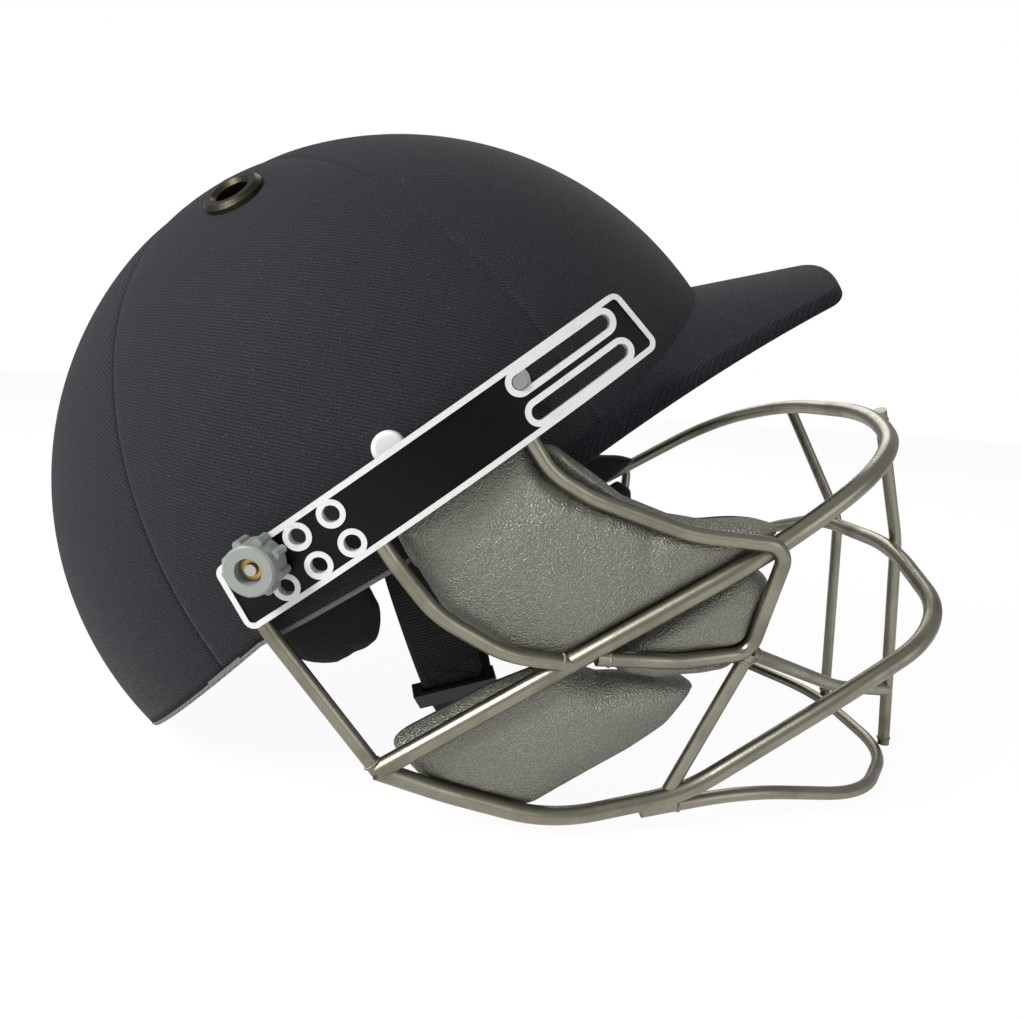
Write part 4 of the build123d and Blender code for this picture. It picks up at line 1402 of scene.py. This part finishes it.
@dataclass
class StrapStitches:
    """Thread that sews the strap's folded ends, beside the slider."""

    strap: ChinStrap
    rows: tuple[float, ...] = (-8.5, 8.5)
    start: tuple[float, float] = (-71.5, -38.5)
    end: tuple[float, float] = (-64.5, -46.5)
    proud: float = 1.05

    def build(self, finishes: Finishes, beads: InstanceRun) -> None:
        """Makes the crossed box of stitches on the outer face of the short strap."""
        run = (Vector(self.end) - Vector(self.start)).normalized()
        lift = Vector((run.y, -run.x)) * self.proud
        ends = [Vector(self.start) + lift, Vector(self.end) + lift]
        low, high = self.rows
        routes = [((0, across), (1, across)) for across in self.rows]
        routes += [((k, low), (k, high)) for k in (0, 1)]
        routes += [((0, low), (1, high)), ((0, high), (1, low))]
        lines = [
            [self.strap.point(ends[k].x, ends[k].y, across) for k, across in route]
            for route in routes
        ]
        stitches = beads.make(
            "strap_stitches",
            lines,
            finishes["dark_thread"],
            Pitch=2.4 * MM,
            Width=0.5 * MM,
            Length=2.0 * MM,
        )
        stitches.dress(finishes["dark_thread"], Body.HELMET, "webbing")


@dataclass
class TrimStitches:
    """Row of thread along the trim under the shell's edge."""

    cover: ClothCover
    lift: float = 0.35 * MM
    drop: float = 0.55 * MM
    steps: int = 240

    def build(self, finishes: Finishes, beads: InstanceRun) -> None:
        """Makes the row, all round the rim."""
        line = []
        for step in range(self.steps + 1):
            turn = 2 * math.pi * step / self.steps
            angle = self.cover.rim_angle(turn)
            edge = self.cover.skin(turn, angle, -self.lift)
            edge.z -= self.drop
            line.append(self.cover.place.matrix @ edge)
        row = beads.make(
            "trim_stitches",
            [line],
            finishes["grey_thread"],
            Pitch=3.2 * MM,
            Width=0.45 * MM,
            Length=2.3 * MM,
        )
        row.dress(finishes["grey_thread"], Body.HELMET, "trim")


@dataclass
class GuardWelds:
    """Beads of weld where the face guard's wires meet."""

    place: Placement
    pitch: float = 0.70 * MM
    bead: float = 1.25 * MM
    corners: int = 24

    def joints(self) -> list[tuple[Point, Point, float]]:
        """Middle, direction of the thinner wire and its radius, at each weld.

        Returns:
            The welds of both sides, in the helmet's frame in millimetres.
        """
        both = [
            ((-43.1, -108.1, -52.2), (2.0, 2.7, -52.0), 2.3),
            ((21.6, -108.3, -55.4), (15.7, 2.9, -18.0), 2.3),
            ((33.9, -107.3, -62.4), (-21.0, -4.8, 16.7), 2.3),
            ((70.3, -98.3, -90.2), (-50.0, 3.6, -32.5), 2.2),
            ((25.6, -95.1, -119.3), (-50.0, 3.6, -32.5), 2.2),
            ((28.0, -93.1, -124.7), (32.1, 5.2, -16.3), 2.2),
            ((168.6, -40.8, -64.0), (-10.2, 17.0, -57.0), 2.2),
            ((156.6, -25.2, -120.5), (-44.6, -2.0, -76.0), 2.2),
            ((115.9, -27.0, -190.6), (-44.6, -2.0, -76.0), 2.2),
        ]
        mirrored = [((x, -y, z), (a, -b, c), r) for (x, y, z), (a, b, c), r in both]
        single = [
            ((74.5, -96.6, -91.1), (26.8, 33.7, -46.6), 2.2),
            ((124.6, -28.9, -169.7), (26.8, 38.3, -37.4), 2.2),
        ]
        return both + mirrored + single

    def ring(self, middle: Point, way: Point, radius: float) -> list[Vector]:
        """Closed ring of points round a wire's end.

        Args:
            middle: Middle of the ring in millimetres.
            way: Direction of the wire.
            radius: Radius of the ring in millimetres.

        Returns:
            The points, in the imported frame.
        """
        turn = Vector(way).to_track_quat("Z", "Y").to_matrix()
        centre = Vector(middle)
        out = []
        for step in range(self.corners + 1):
            angle = 2 * math.pi * step / self.corners
            flat = Vector((math.cos(angle), math.sin(angle), 0)) * radius
            out.append(self.place.point(*(centre + turn @ flat)))
        return out

    def build(self, finishes: Finishes, beads: InstanceRun) -> None:
        """Makes every bead, as one piece."""
        rings = [self.ring(*joint) for joint in self.joints()]
        welds = beads.make(
            "weld_beads",
            rings,
            finishes["weld_metal"],
            Pitch=self.pitch,
            Width=self.bead,
            Length=self.bead,
            Unevenness=0.2,
            Seed=11,
        )
        welds.dress(finishes["weld_metal"], Body.GUARD, "guard_metal")


@dataclass
class PackedNodes:
    """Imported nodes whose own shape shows, and the finish that each one gets."""

    frame: dict
    starts: tuple[tuple[str, tuple[str, ...]], ...] = (
        ("shell_plastic", ("outer_shell",)),
        ("liner_foam", ("foam_liner",)),
        ("trim", ("rim_trim",)),
        ("peak_cloth", ("peak",)),
        ("slider_plastic", ("strap_slider",)),
        ("eyelet_metal", ("eyelet_",)),
        ("white_cap", ("strap_rivet_",)),
        ("screw_steel", ("front_screw_", "knob_stud_")),
        ("spacer_plastic", ("screw_spacer_",)),
        ("plate_white", ("side_plate_",)),
        ("plate_black", ("plate_inlay_",)),
        ("insert_brass", ("knob_insert_",)),
        ("knob_plastic", ("knob_",)),
        ("guard_metal", ("top_bar", "second_bar", "chin_bar", "mid_bar", "upright_")),
        ("guard_metal", ("rear_post_", "rear_wire_", "front_wire_", "pad_wire_")),
        ("guard_metal", ("strut_",)),
    )

    def build(self, finishes: Finishes) -> None:
        """Gives each node that shows its finish."""
        for name, node in self.frame["nodes"].items():
            fits = (f for f, starts in self.starts if name.startswith(starts))
            finish = next(fits, None)
            if finish is None:
                continue
            if not node.data.materials:
                node.data.materials.append(None)
            for index in range(len(node.data.materials)):
                node.data.materials[index] = finishes[finish]
            LOG.info("%s: %s", name, finish)


@dataclass
class Studio:
    """Camera, lamps, floor and background."""

    place: Placement
    eye: Point = (37.0, -335.0, 34.0)
    right: Point = (0.8571, -0.0744, -0.5100)
    upward: Point = (0.5150, 0.1660, 0.8410)
    forward: Point = (-0.0221, 0.9833, -0.1805)
    lens: float = 28.21
    sensor: float = 36.0
    world_strength: float = 0.26
    gloss_share: float = 0.15
    lamps: tuple[tuple[str, Point, float, float], ...] = (
        ("key", (-1.15, -0.85, 1.05), 0.60, 34.0),
        ("front", (1.00, -1.10, 0.45), 0.80, 2.5),
        ("back", (0.20, 1.20, 1.10), 1.00, 7.0),
    )
    target: Point = (0.0, 0.0, 0.14)
    floor_reach: float = 4.0
    floor_grey: Colour = (0.86, 0.86, 0.86)
    floor_glow: float = 1.03
    floor_seen: float = 0.92
    floor_mirrored: float = 0.2
    white: Colour = (1.0, 1.0, 1.0)

    def camera(self) -> None:
        """Makes the camera at the photograph's place."""
        made = bpy.data.cameras.new("camera")
        made.lens = self.lens
        made.sensor_width = self.sensor
        made.clip_start = 0.01
        obj = bpy.data.objects.new("camera", made)
        turn = Matrix((self.right, self.upward, [-part for part in self.forward]))
        seat = Matrix.Translation(Vector(self.eye) * MM) @ turn.transposed().to_4x4()
        obj.matrix_world = self.place.matrix @ seat
        bpy.context.scene.collection.objects.link(obj)
        bpy.context.scene.camera = obj

    def light(self) -> None:
        """Makes the soft lamps."""
        for name, place, size, watts in self.lamps:
            made = bpy.data.lights.new(name, "AREA")
            made.size = size
            made.energy = watts
            obj = bpy.data.objects.new(name, made)
            obj.location = place
            way = Vector(self.target) - Vector(place)
            obj.rotation_euler = way.to_track_quat("-Z", "Y").to_euler()
            bpy.context.scene.collection.objects.link(obj)

    def background(self) -> None:
        """Makes the world, white to the camera and softer as a light."""
        world = bpy.data.worlds.new("studio")
        tree = ShaderTree("studio", world)
        path = tree.node("ShaderNodeLightPath").outputs
        kinds = ("Camera", "Transmission", "Glossy")
        camera, clear, glossy = (Value(tree, path[f"Is {kind} Ray"]) for kind in kinds)
        seen = camera.most(clear).most(glossy * self.gloss_share)
        strength = seen * (1 - self.world_strength) + self.world_strength
        shade = tree.node(
            "ShaderNodeBackground", None, {"Color": self.white, "Strength": strength}
        )
        tree.feed(tree.output.inputs["Surface"], shade.outputs[0])
        bpy.context.scene.world = world

    def floor(self) -> None:
        """Makes the pale floor, white to the camera except for its shadow."""
        far = self.floor_reach
        corners = [(-far, -far, 0), (far, -far, 0), (far, far, 0), (-far, far, 0)]
        piece = Piece.from_lists("floor", corners, [(0, 1, 2, 3)])
        tree = ShaderTree("floor")
        path = tree.node("ShaderNodeLightPath").outputs
        seen = Value(tree, path["Is Camera Ray"])
        mirrored = Value(tree, path["Is Glossy Ray"])
        glow = tree.node(
            "ShaderNodeEmission",
            None,
            {"Color": self.white, "Strength": self.floor_glow},
        )
        pale = tree.node("ShaderNodeBsdfDiffuse", None, {"Color": self.floor_grey})
        share = seen * self.floor_seen + mirrored * self.floor_mirrored
        mix = tree.node(
            "ShaderNodeMixShader",
            None,
            {0: share, 1: pale.outputs[0], 2: glow.outputs[0]},
        )
        tree.feed(tree.output.inputs["Surface"], mix.outputs[0])
        piece.obj.data.materials.append(tree.material)

    def build(self) -> None:
        """Makes the whole studio."""
        self.camera()
        self.light()
        self.background()
        self.floor()
        bpy.context.scene.view_settings.view_transform = "Standard"


def main() -> None:
    """Builds the helmet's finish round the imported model."""
    logging.basicConfig(level=logging.INFO, format="%(name)s %(message)s")
    for data in list(bpy.data.objects):
        bpy.data.objects.remove(data)
    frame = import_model()
    place = Placement()
    finishes = Finishes()
    beads = InstanceRun()
    Studio(place).build()
    PackedNodes(frame).build(finishes)
    cover = ClothCover(place)
    cover.build(finishes)
    strap = ChinStrap(place)
    strap.build(finishes)
    StrapStitches(strap).build(finishes, beads)
    TrimStitches(cover).build(finishes, beads)
    GuardWelds(place).build(finishes, beads)
    pads = SoftPads(frame)
    CheekPads(place, pads).build(finishes)
    Lining(pads).build(finishes)


if __name__ == "__main__":
    main()
